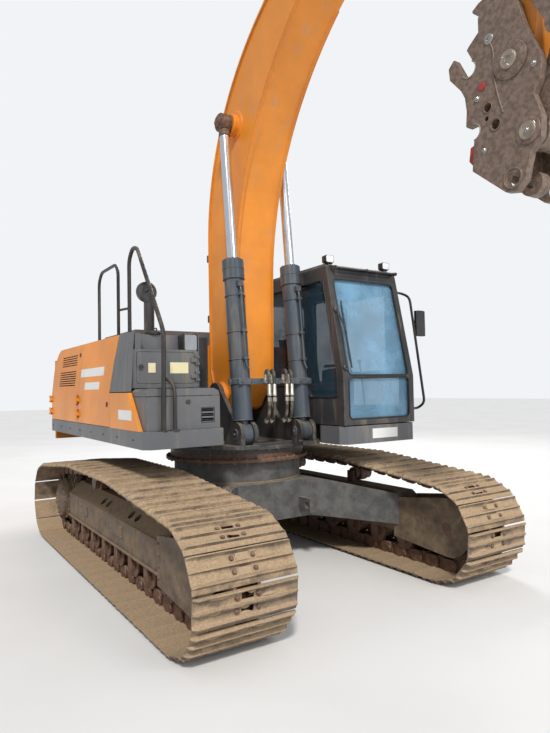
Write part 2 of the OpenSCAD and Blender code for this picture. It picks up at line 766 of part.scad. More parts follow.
module toolbox() {
    color(grey) place() difference() {
        union() {
            box([toolbox_back, toolbox_out, deck_top + seat], [toolbox_front, toolbox_in, toolbox_top]);
            for (y = lid_hinges) lid_hinge(y) hinge_fixed(12, 26, 95);
        }
        box([toolbox_back + 25, toolbox_out + 25, deck_top + 25],
            [toolbox_front - 25, toolbox_in - 25, toolbox_top + 1]);
        for (z = [1545, 1588, 1631]) box([toolbox_front - 30, -940, z], [toolbox_front + 1, -822, z + 28]);
    }
}

module toolbox_lid() {
    low = toolbox_top + gap;
    color(grey) place() {
        along(toolbox_back + 17, toolbox_front) polygon([[toolbox_out, low], [toolbox_in, low],
            [toolbox_in - 12, toolbox_top + 45], [toolbox_in - 60, toolbox_top + 70],
            [toolbox_out + 35, toolbox_top + 70], [toolbox_out + 5, toolbox_top + 45]]);
        for (y = lid_hinges) lid_hinge(y) hinge_moving(22, 5, 4);
    }
}

bay_wall_x = -640;

module engine_housing() {
    wall = panel_t;
    color(dark) place() {
        // Bulkhead behind the boom, and the two walls beside the boom bay
        box([bay_wall_x - wall, -1380, waist_z], [bay_wall_x, 1410, panel_top]);
        both_sides() box([bay_wall_x - wall, beam_out + seat, floor_z + floor_t + seat],
            [bay_wall_x, floor_half_w, waist_z + 1]);
        box([bay_wall_x - wall, -1380, wall_low], [bay_wall_x, -floor_half_w + 1, waist_z + 1]);
        box([bay_wall_x - wall, floor_half_w - 1, cab_floor - 10 + seat], [bay_wall_x, 1450, waist_z + 1]);
        box([bay_wall_x - wall, -beam_in + 5, 1600], [bay_wall_x, beam_in - 5, waist_z + 1]);
        // Post that carries the middle door's hinges
        along(seam_rear - 70, seam_rear - 20) polygon([[-1450, wall_low], [-1350, wall_low],
            [-1350, panel_top - wall + 2], [-1390, panel_top - wall + 2], [-1450, 1790]]);
        side_hinges(seam_rear) hinge_fixed(60, 30, door_axis_y - 1450);
        for (y = hood_hinges) hood_hinge(y) hinge_fixed(60, 30, hinge_r + 5);
    }
    color(orange) place() {
        // Top plate with the hood opening
        difference() {
            box([house_back, -1390, panel_top - wall + 1], [bay_wall_x, 1390, panel_top]);
            box([-2180, -860, panel_top - wall], [-1020, 860, panel_top + 1]);
        }
        mirror([0, 1, 0]) wall_piece(cab_floor - 10 + seat) polygon([[seam_rear + seam / 2, cab_floor - 10],
            [cab_back - 20, cab_floor - 10], [cab_back - 20, panel_top + 1],
                [seam_rear + seam / 2, panel_top + 1]]);
        // Rear cross wall in front of the counterweight
        box([house_back, -1390, wall_low], [house_back + wall, 1390, panel_top - wall + 2]);
    }
}

hood_top = 2570;

hood_hinges = [-600, 600];

module hood_hinge(y) {
    translate([-2226, y, panel_top + hinge_r + 5]) rotate([90, 0, 0]) children();
}

module hood() {
    color(dark) place() for (y = hood_hinges) hood_hinge(y) hinge_moving(35, 10, 4);
    color(dark) place() difference() {
        along(-2210, -1000) polygon([[-900, panel_top + gap], [900, panel_top + gap], [820, hood_top],
            [-820, hood_top]]);
        along(-2170, -1040) polygon([[-860, panel_top], [860, panel_top], [785, hood_top - 35],
            [-785, hood_top - 35]]);
        for (i = [0 : 9]) box([-2100 + i * 100, -910, panel_top + 60],
            [-2050 + i * 100, -700, hood_top - 60]);
    }
}

rail_r = 20;
rail_y = 1570;

module handrails() {
    color(black) place() {
        bent_tube([[1080, -1320, deck_top + 1], [1110, -1320, 2330], [430, -1300, 3200], [300, -1300, 3230],
            [190, -1300, 3130], [190, -1300, panel_top + seat]], rail_r);
        bent_tube([[1085, -1216, deck_top + seat], [1085, -1216, 1850], [1086, -1250, 1905],
            [1094, -1300, 1925]], 16);
        bent_tube([[0, -1350, panel_top + seat], [0, -1350, 3050], [-80, -1350, 3130], [-560, -1350, 3130],
            [-660, -1350, 3040], [-660, -1350, panel_top + seat]], 17);
        bent_tube([[190, -1300, 2650], [0, -1340, 2650]], 12);
        bent_tube([[cab_front - 35, cab_out + seat, 1580], [cab_front - 35, rail_y, 1580],
            [1370, rail_y, 1640],
            [1190, rail_y, 2820], [1056, rail_y, 2880], [1056, cab_out + seat, 2880]], 14);
    }
}

module mirrors() {
    color(grey) place() {
        rod([758.8, -1309, 2740], [674, -1309, 2740], 8);
        translate([645, -1300, 2740]) rotate([0, 90, 0]) cylinder(r = 95, h = 30);
        rod([1237, rail_y + 14 + seat, 2510], [1237, 1602, 2510], 9);
        box([1222, 1601, 2380], [1252, 1740, 2660]);
    }
}

module exhaust() {
    color(dark) place() difference() {
        union() {
            translate([-850, -700, panel_top]) cylinder(r = 110, h = 60);
            translate([-850, -700, panel_top]) cylinder(r = 62, h = 560);
        }
        translate([-850, -700, panel_top + 120]) cylinder(r = 56, h = 600);
    }
}

// Cab

cab_shell_top = cab_top - 40;
screen_split = 1940;
// Heights of the thin bar between the two front windows
bar_z = [1925, 1945];
roof_front = 1050;
window_r = 45;

module cab_side_profile(t) {
    polygon([[cab_back + t, cab_floor + t], [cab_front - t, cab_floor + t], [cab_front - t, screen_split],
        [roof_front - t, cab_shell_top - t], [cab_back + t, cab_shell_top - t]]);
}

// Rectangle with round corners, drawn from its low and high corners
module round_rect(a, b, r = window_r) {
    difference() {
        translate(a) square(b - a);
        for (c = [[a[0], a[1], 0], [b[0], a[1], 90], [b[0], b[1], 180], [a[0], b[1], 270]])
            translate([c[0], c[1]]) rotate(c[2]) difference() {
                translate([-1, -1]) square(r + 1);
                translate([r, r]) circle(r = r);
            }
    }
}

module side_window(c) {
    inset = c;
    polygon([[740 + inset, 1720 + inset], [1205 - inset, 1720 + inset], [1205 - inset, screen_split],
        [1000 - inset, 2950 - inset], [430 + inset, 2950 - inset], [430 + inset, 2150],
            [520 + inset, 1950]]);
}

module door_opening(c) {
    polygon([[130 + c, 1490 + c], [1215 - c, 1490 + c], [1215 - c, screen_split], [1000 - c, 2960 - c],
        [130 + c, 2960 - c]]);
}

module cab_shell() {
    color(dark) place() for (z = cab_hinges) cab_hinge(z) hinge_fixed(60, 30, hinge_r + 5);
    color(dark) place() difference() {
        across(cab_in, cab_out) cab_side_profile(0);
        across(cab_in + cab_wall, cab_out - cab_wall) cab_side_profile(cab_wall);
        along(1000, cab_front + 10) round_rect([cab_in + 70, 1500], [cab_out - 70, bar_z[0]]);
        along(900, cab_front + 10) round_rect([cab_in + 70, bar_z[1]], [cab_out - 70, 2960]);
        along(cab_back - 10, cab_back + 100) round_rect([cab_in + 90, 1950], [cab_out - 90, 2900]);
        across(cab_in - 10, cab_in + 100) side_window(0);
        across(cab_in - 10, cab_in + 100) round_rect([-420, 1850], [330, 2950]);
        across(cab_out - 100, cab_out + 10) door_opening(0);
        across(cab_out - 100, cab_out + 10) round_rect([-430, 1900], [40, 2950]);
        translate([0, 0, cab_shell_top - 100]) linear_extrude(200)
            round_rect([-100, cab_in + 200], [600, cab_out - 200]);
    }
}

module cab_roof() {
    color(grey) place() {
        across(cab_in + 40, cab_out - 40) polygon([[cab_back + 20, cab_shell_top + seat],
            [roof_front - 20, cab_shell_top + seat],
            [roof_front - 80, cab_top], [cab_back + 80, cab_top]]);
    }
}

module cab_glass() {
    fit = 0.3;
    mid = (cab_wall - glass_t) / 2;
    color(glass) place() {
        intersection() {
            along(1000, cab_front + 10) round_rect([cab_in + 70 + fit, 1500 + fit],
                [cab_out - 70 - fit, bar_z[0] - fit]);
            box([cab_front - mid - glass_t, 0, 0], [cab_front - mid, 2000, 4000]);
        }
        intersection() {
            along(900, cab_front + 10) round_rect([cab_in + 70 + fit, bar_z[1] + fit],
                [cab_out - 70 - fit, 2960 - fit]);
            across(cab_in, cab_out) polygon([[cab_front - mid - glass_t, screen_split],
                [cab_front - mid, screen_split],
                [roof_front - mid, cab_shell_top], [roof_front - mid - glass_t, cab_shell_top]]);
        }
        intersection() {
            along(cab_back - 10, cab_back + 100) round_rect([cab_in + 90 + fit, 1950 + fit],
                [cab_out - 90 - fit, 2900 - fit]);
            box([cab_back + mid, 0, 0], [cab_back + mid + glass_t, 2000, 4000]);
        }
        across(cab_in + mid, cab_in + mid + glass_t) side_window(fit);
        across(cab_in + mid, cab_in + mid + glass_t) round_rect([-420 + fit, 1850 + fit],
            [330 - fit, 2950 - fit]);
        across(cab_out - mid - glass_t, cab_out - mid) round_rect([-430 + fit, 1900 + fit],
            [40 - fit, 2950 - fit]);
        translate([0, 0, cab_shell_top - mid - glass_t]) linear_extrude(glass_t)
            round_rect([-100 + fit, cab_in + 200 + fit], [600 - fit, cab_out - 200 - fit]);
    }
}

door_gap = 6;
door_t = 50;

module door_window(c) {
    round_rect([200 + c, 2000 + c], [930 - c, 2880 - c]);
}

module door_low_window(c) {
    round_rect([200 + c, 1600 + c], [1130 - c, 1930 - c]);
}

cab_hinges = [1650, 2600];

module cab_hinge(z) {
    translate([130, cab_out + hinge_r + 5, z]) children();
}

module cab_door() {
    color(dark) place() {
        difference() {
            across(cab_out - door_t, cab_out) door_opening(door_gap);
            across(cab_out - door_t - 1, cab_out + 1) door_window(0);
            across(cab_out - door_t - 1, cab_out + 1) door_low_window(0);
        }
        across(cab_out - 1, cab_out + 35) round_rect([980, 1955], [1060, 1985], 10);
        for (z = cab_hinges) cab_hinge(z) hinge_moving(55, 30, hinge_r + 5);
    }
}

module door_glass() {
    mid = cab_out - door_t / 2;
    color(glass) place() {
        across(mid - glass_t / 2, mid + glass_t / 2) door_window(0.3);
        across(mid - glass_t / 2, mid + glass_t / 2) door_low_window(0.3);
    }
}

seat_mid = (cab_in + cab_out) / 2;

module seat_block() {
    low = cab_floor + cab_wall;
    color(black) place() translate([0, seat_mid, low]) {
        box([0, -220, 0], [420, 220, 260]);
        across(-260, 260) polygon([[-60, 260], [480, 260], [500, 340], [460, 390], [60, 370], [-60, 400],
            [-190, 1000], [-290, 1010], [-280, 700], [-170, 330]]);
    }
}

module consoles() {
    low = cab_floor + cab_wall;
    color(dark) place() translate([0, seat_mid, low]) for (s = [-1, 1]) {
        box([-50, s * 340 - 60, 0], [420, s * 340 + 60, 560]);
        rod([380, s * 340, 555], [410, s * 340, 740], 18);
    }
    color(dark) place() translate([0, seat_mid, low]) {
        box([900, -180, 0], [1040, 180, 60]);
        for (y = [-90, 90]) rod([950, y, 50], [880, y, 620], 12);
    }
}

module cab_interior() {
    seat_block();
    consoles();
}

module work_lights() {
    color(steel) place() for (y = [cab_in + 90, cab_out - 90]) {
        box([roof_front - 110, y - 55, cab_top + 12], [roof_front - 30, y + 55, cab_top + 95]);
        box([roof_front - 190, y - 20, cab_top + seat], [roof_front - 90, y + 20, cab_top + 20]);
    }
}

// Boom, cylinders, arm and coupler

function boom_points(i) = concat(
    [polar(foot_p, foot_r - i, 175), polar(foot_p, foot_r - i, -60), [boom_x_front - 30 - i, 1880 + i]],
    arc([boom_x_front + boom_front_r, boom_front_z], boom_front_r + i, 180, 180 - boom_front_t, 20),
    arc(nose_p, nose_r - i, -56, 118, 14),
    arc([boom_x_back + boom_back_r, boom_back_z], boom_back_r - i, 180 - boom_back_t, 180, 20),
    [[boom_x_back + i, 2050]]);

web_half_w = 212;
fork_half_w = arm_half_w + 8;
fork_r = 535;
boss_r = 112;
lug_r = 105;

module boom() {
    color(orange) place() difference() {
        union() {
            across(-web_half_w, web_half_w) polygon(boom_points(boom_flange / 2));
            across(-boom_half_w, boom_half_w) difference() {
                polygon(boom_points(0));
                polygon(boom_points(boom_flange));
            }
            bar_y(foot_p, foot_r, -beam_in + gap, beam_in - gap);
            bar_y(rod_pin, boss_r, -boom_cyl_y + 65, boom_cyl_y - 65);
            bar_y(nose_p, nose_r - 10, -boom_half_w - 10, boom_half_w + 10);
            for (s = [-1, 1]) across(s * 124 - 27, s * 124 + 27) {
                translate(arm_cyl_foot) circle(r = lug_r);
                polygon([[arm_cyl_foot[0] - 330, 5400], [arm_cyl_foot[0] - 95, arm_cyl_foot[1] + 45],
                    [arm_cyl_foot[0] + 60, arm_cyl_foot[1] + 85], [arm_cyl_foot[0] + 480, 5850]]);
            }
        }
        bar_y(nose_p, fork_r, -fork_half_w, fork_half_w);
        bar_y(arm_cyl_foot, hinge_pin_r + pin_clear, -200, 200);
    }
    // Foot pin, nose pin
    color(steel) place() {
        bar_y(foot_p, hinge_pin_r, -beam_out - gap, beam_out + gap);
        bar_y(nose_p, hinge_pin_r, -boom_half_w - 18, boom_half_w + 18);
    }
}

module boom_pipes() {
    lift = 45;
    route = concat([[boom_x_back - lift, 2350]], arc([boom_x_back + boom_back_r, boom_back_z],
        boom_back_r + lift, 180, 180 - boom_back_t, 8), [[1100, 5690]]);
    color(black) place() for (y = [-185, 185]) bent_tube([for (p = route) [p[0], y, p[1]]], 18);
    color(dark) place() for (y = [-185, 185]) {
        box([boom_x_back - lift - 24, y - 30, 2600], [boom_x_back - 0.5, y + 30, 2680]);
        box([boom_x_back - lift - 24, y - 30, 3300], [boom_x_back - 0.5, y + 30, 3380]);
    }
}

// Local frame of a cylinder: Z runs from its foot pin a to its rod pin b, in the plane at y
module ram_frame(a, b, y) {
    translate([a[0], y, a[1]]) rotate([0, 90 - dir_angle(b - a), 0]) children();
}

// Tube of a cylinder: foot eye, barrel and gland
module ram_tube(a, b, y, r, rod_r, len, eye_w, eye_r) {
    wall = r * 0.2;
    gland = r * 2;
    ram_frame(a, b, y) difference() {
        union() {
            rotate([90, 0, 0]) translate([0, 0, -eye_w / 2]) cylinder(r = eye_r, h = eye_w);
            cylinder(r = min(r * 0.8, eye_w / 2), h = eye_r + 60);
            translate([0, 0, eye_r + 30]) cylinder(r = r, h = len - gland - eye_r - 30);
            translate([0, 0, len - gland]) cylinder(r = r + 12, h = gland);
        }
        translate([0, 0, eye_r + 50]) cylinder(r = r - wall, h = len - gland - eye_r - 40);
        cylinder_bore(len, rod_r);
    }
}

module cylinder_bore(len, rod_r) {
    translate([0, 0, len / 2]) cylinder(r = rod_r + pin_clear, h = len);
}

// Rod of a cylinder with its piston and eye
module ram_rod(a, b, y, r, rod_r, depth, eye_w, eye_r) {
    wall = r * 0.2;
    full = norm(b - a);
    ram_frame(a, b, y) {
        translate([0, 0, full - depth]) cylinder(r = rod_r, h = depth);
        translate([0, 0, full - depth]) cylinder(r = r - wall - pin_clear, h = 60);
        translate([0, 0, full]) rotate([90, 0, 0]) translate([0, 0, -eye_w / 2])
            cylinder(r = eye_r, h = eye_w);
        translate([0, 0, full - eye_r - 50]) cylinder(r = rod_r + 6, h = 60);
    }
}

boom_tube_len = 1765;
// Length of the boom cylinders' rods inside their tubes, with the piston
boom_rod_in = 369;

// Length of a rod from its eye to the end of its piston, in a cylinder between the pins a and b
function rod_depth(a, b, tube_len, inside) = norm(b - a) - tube_len + inside;

module boom_cylinder_tubes() {
    color(dark) place() for (s = [-1, 1]) {
        ram_tube(cyl_foot, rod_pin, s * boom_cyl_y, boom_tube_r, boom_rod_r, boom_tube_len, 100, 105);
        bar_y(cyl_foot, hinge_pin_r, min(s * (beam_in - 3), s * (ear_out + 10)),
            max(s * (beam_in - 3), s * (ear_out + 10)));
    }
}

module boom_cylinder_rods() {
    color(steel) place() for (s = [-1, 1])
        ram_rod(cyl_foot, rod_pin, s * boom_cyl_y, boom_tube_r, boom_rod_r,
            rod_depth(cyl_foot, rod_pin, boom_tube_len, boom_rod_in), 100, 95);
}

module cylinder_hoses() {
    front = 832;
    color(grey) place() {
        along(front, front + 14) translate([-440, 1870]) square([880, 60]);
        // Clamps round the two tubes
        for (s = [-1, 1]) ram_frame(cyl_foot, rod_pin, s * boom_cyl_y) translate([0, 0, 490]) difference() {
            cylinder(r = boom_tube_r + 13, h = 60);
            translate([0, 0, -1]) cylinder(r = boom_tube_r + seat, h = 62);
        }
    }
    color(black) place() for (y = [-150, -90, 60, 120])
        bent_tube([[front + 45, y, 1900], [front + 45, y, 1985], [front + 75, y, 2010],
            [front + 105, y, 1985],
            [front + 110, y, 1750], [front + 100, y, 1560], [front + 50, y, 1510]], 16);
    color(steel) place() for (y = [-150, -90, 60, 120]) {
        box([front + 14, y - 18, 1875], [front + 65, y + 18, 1925]);
        rod([front + 109, y, 1860], [front + 110, y, 1740], 22);
    }
}

module arm() {
    web = arm_half_w - 14;
    low = -190;
    outline = concat([arm_pt(-150, low + 20), arm_pt(300, low - 20)], [arm_pt(arm_len, -tip_r)],
        [for (a = [-75 : 15 : 75]) arm_pt(arm_len + tip_r * cos(a), tip_r * sin(a))],
        [arm_pt(arm_len, tip_r), arm_pt(1150, 280), arm_pt(450, 315), arm_pt(-60, 330)],
        [arm_pt(-810, 445), arm_pt(-900, 400), arm_pt(-925, 330), arm_pt(-880, 260), arm_pt(-560, 90)]);
    color(orange) place() difference() {
        union() {
            across(-web, web) polygon(outline);
            for (y = [-arm_half_w, web]) across(y, y + 14) polygon(outline);
            for (s = [-1, 1]) across(s * 103 - 23, s * 103 + 23) {
                translate(link_foot) circle(r = 100);
                polygon([arm_pt(40, 300), link_foot + 95 * arm_v * 0.9 - 30 * arm_u, link_foot + 95 * arm_u,
                    arm_pt(620, 300)]);
            }
            bar_y(rocker_p, 100, -arm_half_w - 10, arm_half_w + 10);
        }
        // Fork that takes the arm cylinder's rod eye
        bar_y(arm_tail, 420, -75, 75);
        bar_y(nose_p, hinge_pin_r + pin_clear, -300, 300);
        bar_y(tip_p, hinge_pin_r + pin_clear, -300, 300);
        bar_y(link_foot, hinge_pin_r + pin_clear, -300, 300);
    }
    color(steel) place() bar_y(rocker_p, hinge_pin_r, -arm_half_w - 65, arm_half_w + 65);
}

arm_tube_r = 92;
arm_rod_r = 55;
arm_tube_len = 1900;
link_tube_r = 75;
link_rod_r = 48;
link_tube_len = 1560;

module arm_cylinder_tube() {
    color(dark) place() {
        ram_tube(arm_cyl_foot, arm_tail, 0, arm_tube_r, arm_rod_r, arm_tube_len, 184, 100);
        bar_y(arm_cyl_foot, hinge_pin_r, -165, 165);
    }
}

module arm_cylinder_rod() {
    color(steel) place() ram_rod(arm_cyl_foot, arm_tail, 0, arm_tube_r, arm_rod_r, 1890, 110, 90);
}

module link_cylinder_tube() {
    color(dark) place() {
        ram_tube(link_foot, knee_p, 0, link_tube_r, link_rod_r, link_tube_len, 150, 95);
        bar_y(link_foot, hinge_pin_r, -140, 140);
    }
}

module link_cylinder_rod() {
    color(steel) place() ram_rod(link_foot, knee_p, 0, link_tube_r, link_rod_r, 1500, 90, 80);
}

rocker_in = arm_half_w + 15;
rocker_out = rocker_in + 45;

// Plate link between two pins, with round ends
module link_plate(a, b, r, waist) {
    d = dir(a, b);
    translate(a) circle(r = r);
    translate(b) circle(r = r);
    polygon([a + side(d) * r * 0.8, a - side(d) * r * 0.8, (a + b) / 2 - side(d) * waist, b - side(d)
        * r * 0.8,
        b + side(d) * r * 0.8, (a + b) / 2 + side(d) * waist]);
}

module rocker_links() {
    color(dark) place() {
        for (s = [-1, 1]) difference() {
            across(min(s * rocker_in, s * rocker_out), max(s * rocker_in, s * rocker_out))
                link_plate(rocker_p, knee_p, 95, 65);
            bar_y(rocker_p, hinge_pin_r + pin_clear, -300, 300);
        }
        for (s = [-1, 1]) bar_y(knee_p, hinge_pin_r - 8, min(s * (rocker_out - 1), s * (rocker_out + 14)),
            max(s * (rocker_out - 1), s * (rocker_out + 14)));
    }
}

module tipping_link() {
    d = dir(knee_p, link_p);
    color(dark) place() difference() {
        union() {
            for (s = [-1, 1]) {
                across(min(s * 60, s * 150), max(s * 60, s * 150)) link_plate(knee_p, link_p, 88, 55);
                bar_y(knee_p, 60, min(s * 60, s * 170), max(s * 60, s * 170));
            }
            bar_y(link_p, 80, -100, 100);
            across(-70, 70) polygon([knee_p + 220 * d + 36 * side(d), knee_p + 220 * d - 36 * side(d),
                link_p - 36 * side(d), link_p + 36 * side(d)]);
        }
        bar_y(link_p, hinge_pin_r + pin_clear, -300, 300);
    }
}

coupler_in = 170;
coupler_out = 220;
// Place of the tip pin in the drawing of the coupler, which moves with the arm's tip
tip_home = [3758.106, 3730.096];

module at_tip() {
    translate([tip_p[0] - tip_home[0], 0, tip_p[1] - tip_home[1]]) children();
}

// Jaws that hold the tool's pins
jaw_r = 46;
jaws = [[3484, 3402, 180], [3466, 3812, 116]];
// Lifting eye at the lower end
lift_p = [3750, 3030];
lift_r = 32;
// Small holes through the side plates, as [x, z, radius]
plate_holes = [[3594, 3514, 27], [3583, 3449, 15], [3646, 3391, 30]];

module coupler() {
    plate = [[3544, 4095], [3560, 4132], [3508, 4150], [3505, 4165], [3550, 4190], [3640, 4210],
        [3720, 4200],
        [3768, 4150], [3822, 4049], [3841, 3970], [3858, 3895], [3894, 3803], [3943, 3698], [3955, 3621],
        [3937, 3545], [3900, 3470], [3945, 3330], [3935, 3210], [3870, 3150], [3830, 3000], [3770, 2945],
        [3700, 2960], [3470, 3160], [3480, 3260], [3490, 3352], [3454, 3432], [3432, 3459], [3440, 3552],
        [3429, 3645], [3402, 3701], [3316, 3809], [3309, 3887], [3351, 3925], [3414, 3902], [3475, 3960],
        [3544, 4011]];
    block = [[3540, 3220], [3690, 3080], [3700, 3400], [3630, 3560], [3615, 3700], [3570, 3800],
        [3540, 3700],
        [3560, 3560], [3540, 3450]];
    color(rust) place() at_tip() difference() {
        union() {
            both_sides() across(coupler_in, coupler_out) difference() {
                polygon(plate);
                for (j = jaws) translate([j[0], j[1]]) {
                    circle(r = jaw_r);
                    rotate(j[2]) translate([0, -jaw_r]) square([250, 2 * jaw_r]);
                }
                for (h = plate_holes) translate([h[0], h[1]]) circle(r = h[2]);
                // Clearance for the pin of the lifting eye
                translate(lift_p) circle(r = lift_r + 13);
            }
            across(-coupler_in - 1, coupler_in + 1) polygon(block);
            both_sides() bar_y(tip_home, 95, coupler_out - 1, coupler_out + 15);
            across(-40, 40) {
                translate(lift_p) circle(r = 75);
                polygon([[3600, 3150], [3690, 3150], [3800, 3080], [3750, 2955], [3690, 2990]]);
            }
        }
        bar_y(lift_p, lift_r, -60, 60);
    }
    color(steel) place() {
        bar_y(tip_p, hinge_pin_r, -coupler_out - 20, coupler_out + 20);
        bar_y(link_p, hinge_pin_r, -coupler_out - 10, coupler_out + 10);
    }
}

module coupler_lock() {
    color(red) place() at_tip() both_sides() {
        across(coupler_in - 60, coupler_in - seat) polygon([[3422, 3335], [3409, 3251], [3459, 3187],
            [3500, 3200], [3520, 3330], [3484, 3352]]);
        across(coupler_in - 60, coupler_in - seat) polygon([[3440, 3690], [3530, 3680], [3535, 3755],
            [3465, 3758]]);
    }
}

carbody();
slew_ring();
track_frames();
track_right();
track_left();
idlers();
sprockets();
track_rollers();
main_frame();
deck_right();
deck_left();
counterweight();
engine_block();
engine_housing();
hood();
door_right_rear();
door_right_mid();
side_panel_right();
door_left_rear();
fuel_tank();
tank_door();
hydraulic_tank();
toolbox();
toolbox_lid();
handrails();
mirrors();
exhaust();
cab_shell();
cab_roof();
cab_glass();
cab_interior();
work_lights();
cab_door();
door_glass();
cylinder_hoses();
boom();
boom_pipes();
boom_cylinder_tubes();
boom_cylinder_rods();
arm();
arm_cylinder_tube();
arm_cylinder_rod();
link_cylinder_tube();
link_cylinder_rod();
rocker_links();
tipping_link();
coupler();
coupler_lock();
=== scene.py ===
"""Looks of the crawler excavator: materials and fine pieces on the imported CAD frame, in metres."""
import math
import random

import bmesh
import bpy
from mathutils import Matrix, Vector


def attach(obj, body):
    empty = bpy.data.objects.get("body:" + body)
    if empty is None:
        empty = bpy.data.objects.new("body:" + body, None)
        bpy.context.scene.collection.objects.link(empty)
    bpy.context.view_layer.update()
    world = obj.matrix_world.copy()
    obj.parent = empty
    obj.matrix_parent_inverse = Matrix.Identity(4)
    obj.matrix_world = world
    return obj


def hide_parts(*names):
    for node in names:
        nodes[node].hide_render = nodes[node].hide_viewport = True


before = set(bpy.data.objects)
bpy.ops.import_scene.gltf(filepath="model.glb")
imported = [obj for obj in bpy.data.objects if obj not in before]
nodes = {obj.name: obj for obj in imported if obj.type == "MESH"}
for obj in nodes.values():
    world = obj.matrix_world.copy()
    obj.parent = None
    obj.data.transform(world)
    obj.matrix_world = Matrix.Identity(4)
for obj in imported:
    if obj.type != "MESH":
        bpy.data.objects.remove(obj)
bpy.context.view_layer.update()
random.seed(7)

SWING_X = -0.425
OUT_X, ACROSS, UP = (1, 0, 0), (0, 1, 0), (0, 0, 1)


def at(x, y, z):
    """A point of the machine frame, in metres, in the row frame."""
    return Vector((x + SWING_X, y, z))


def mm(x, y, z):
    """The same for a point given in millimetres, as the part's source gives it."""
    return at(x / 1000, y / 1000, z / 1000)


def linked(name, data):
    """New object in the scene."""
    obj = bpy.data.objects.new(name, data)
    bpy.context.scene.collection.objects.link(obj)
    return obj


# Camera, at the photograph's place and angle

def make_camera():
    yaw, pitch, roll = 2.5651, 0.0370, -0.0190
    forward = Vector((math.cos(pitch) * math.cos(yaw), math.cos(pitch) * math.sin(yaw), math.sin(pitch)))
    right = forward.cross(Vector((0, 0, 1))).normalized()
    up = right.cross(forward)
    tilted_right = math.cos(roll) * right + math.sin(roll) * up
    tilted_up = -math.sin(roll) * right + math.cos(roll) * up
    data = bpy.data.cameras.new("view")
    data.sensor_fit = "AUTO"
    data.sensor_width = 36.0
    data.lens = 28.64
    data.clip_end = 200.0
    cam = linked("view", data)
    m = Matrix((tilted_right, tilted_up, -forward)).transposed().to_4x4()
    m.translation = at(5.804, -3.240, 1.829)
    cam.matrix_world = m
    bpy.context.scene.camera = cam


make_camera()


# Materials

def put(tree, socket, value):
    """Link or set an input of a node; a colour has three values and gets its alpha here."""
    if isinstance(value, bpy.types.NodeSocket):
        tree.links.new(value, socket)
    else:
        socket.default_value = (*value, 1.0) if socket.type == "RGBA" else value


def put_all(tree, node, values):
    for key, value in values.items():
        put(tree, node.inputs[key if isinstance(key, int) else key.replace("_", " ")], value)


def new_node(tree, kind, slots=None, **values):
    """Shader node with its inputs set by number, in slots, or by name."""
    n = tree.nodes.new("ShaderNode" + kind)
    put_all(tree, n, {**(slots or {}), **values})
    return n


class Mat:
    """A material under construction, with short calls for the nodes that it uses."""

    def __init__(self, name):
        self.m = bpy.data.materials.new(name)
        self.m.use_nodes = True
        self.t = self.m.node_tree
        self.b = self.t.nodes["Principled BSDF"]
        self.coord = self.node("TexCoord").outputs["Object"]

    def set(self, **values):
        put_all(self.t, self.b, values)

    def node(self, kind, slots=None, **values):
        return new_node(self.t, kind, slots, **values)

    def noise(self, scale, detail=4.0, rough=0.55, distort=0.0, stretch=None):
        place = self.coord
        if stretch:
            place = self.node("Mapping", Scale=stretch, Vector=place).outputs["Vector"]
        n = self.node("TexNoise", Scale=scale, Detail=detail, Roughness=rough, Distortion=distort)
        put(self.t, n.inputs["Vector"], place)
        return n.outputs["Fac"]

    def cells(self, scale):
        return self.node("TexVoronoi", Scale=scale, Vector=self.coord).outputs["Distance"]

    def ramp(self, fac, low, high):
        n = self.node("MapRange", Value=fac, From_Min=low, From_Max=high)
        n.interpolation_type = "SMOOTHSTEP"
        return n.outputs["Result"]

    def mix(self, fac, a, b):
        n = self.node("Mix")
        n.data_type = "RGBA"
        put_all(self.t, n, {"Factor": fac, 6: a, 7: b})
        return n.outputs[2]

    def math(self, op, a, b=0.0, clamp=False):
        n = self.node("Math", {0: a, 1: b})
        n.operation, n.use_clamp = op, clamp
        return n.outputs[0]

    def mul(self, a, b):
        """Product held between 0 and 1, as are add and sub."""
        return self.math("MULTIPLY", a, b, True)

    def add(self, a, b):
        return self.math("ADD", a, b, True)

    def sub(self, a, b):
        return self.math("SUBTRACT", a, b, True)

    def split(self, vector):
        return self.node("SeparateXYZ", Vector=vector).outputs

    def normal(self):
        return self.node("NewGeometry").outputs["Normal"]

    def rounded(self, radius):
        n = self.node("Bevel", Radius=radius)
        n.samples = 4
        return n.outputs["Normal"]

    def edges(self, rounded):
        """How far a surface point lies in a rounded edge, from 0 to 1."""
        d = self.node("VectorMath", {0: self.normal(), 1: rounded})
        d.operation = "DOT_PRODUCT"
        return self.sub(1.0, d.outputs["Value"])

    def bump(self, height, distance, strength=1.0, normal=None):
        n = self.node("Bump", Strength=strength, Distance=distance, Height=height)
        if normal is not None:
            put(self.t, n.inputs["Normal"], normal)
        return n.outputs["Normal"]


def shade(colour, k):
    return tuple(min(1.0, c * k) for c in colour)


DUST = (0.44, 0.35, 0.25)


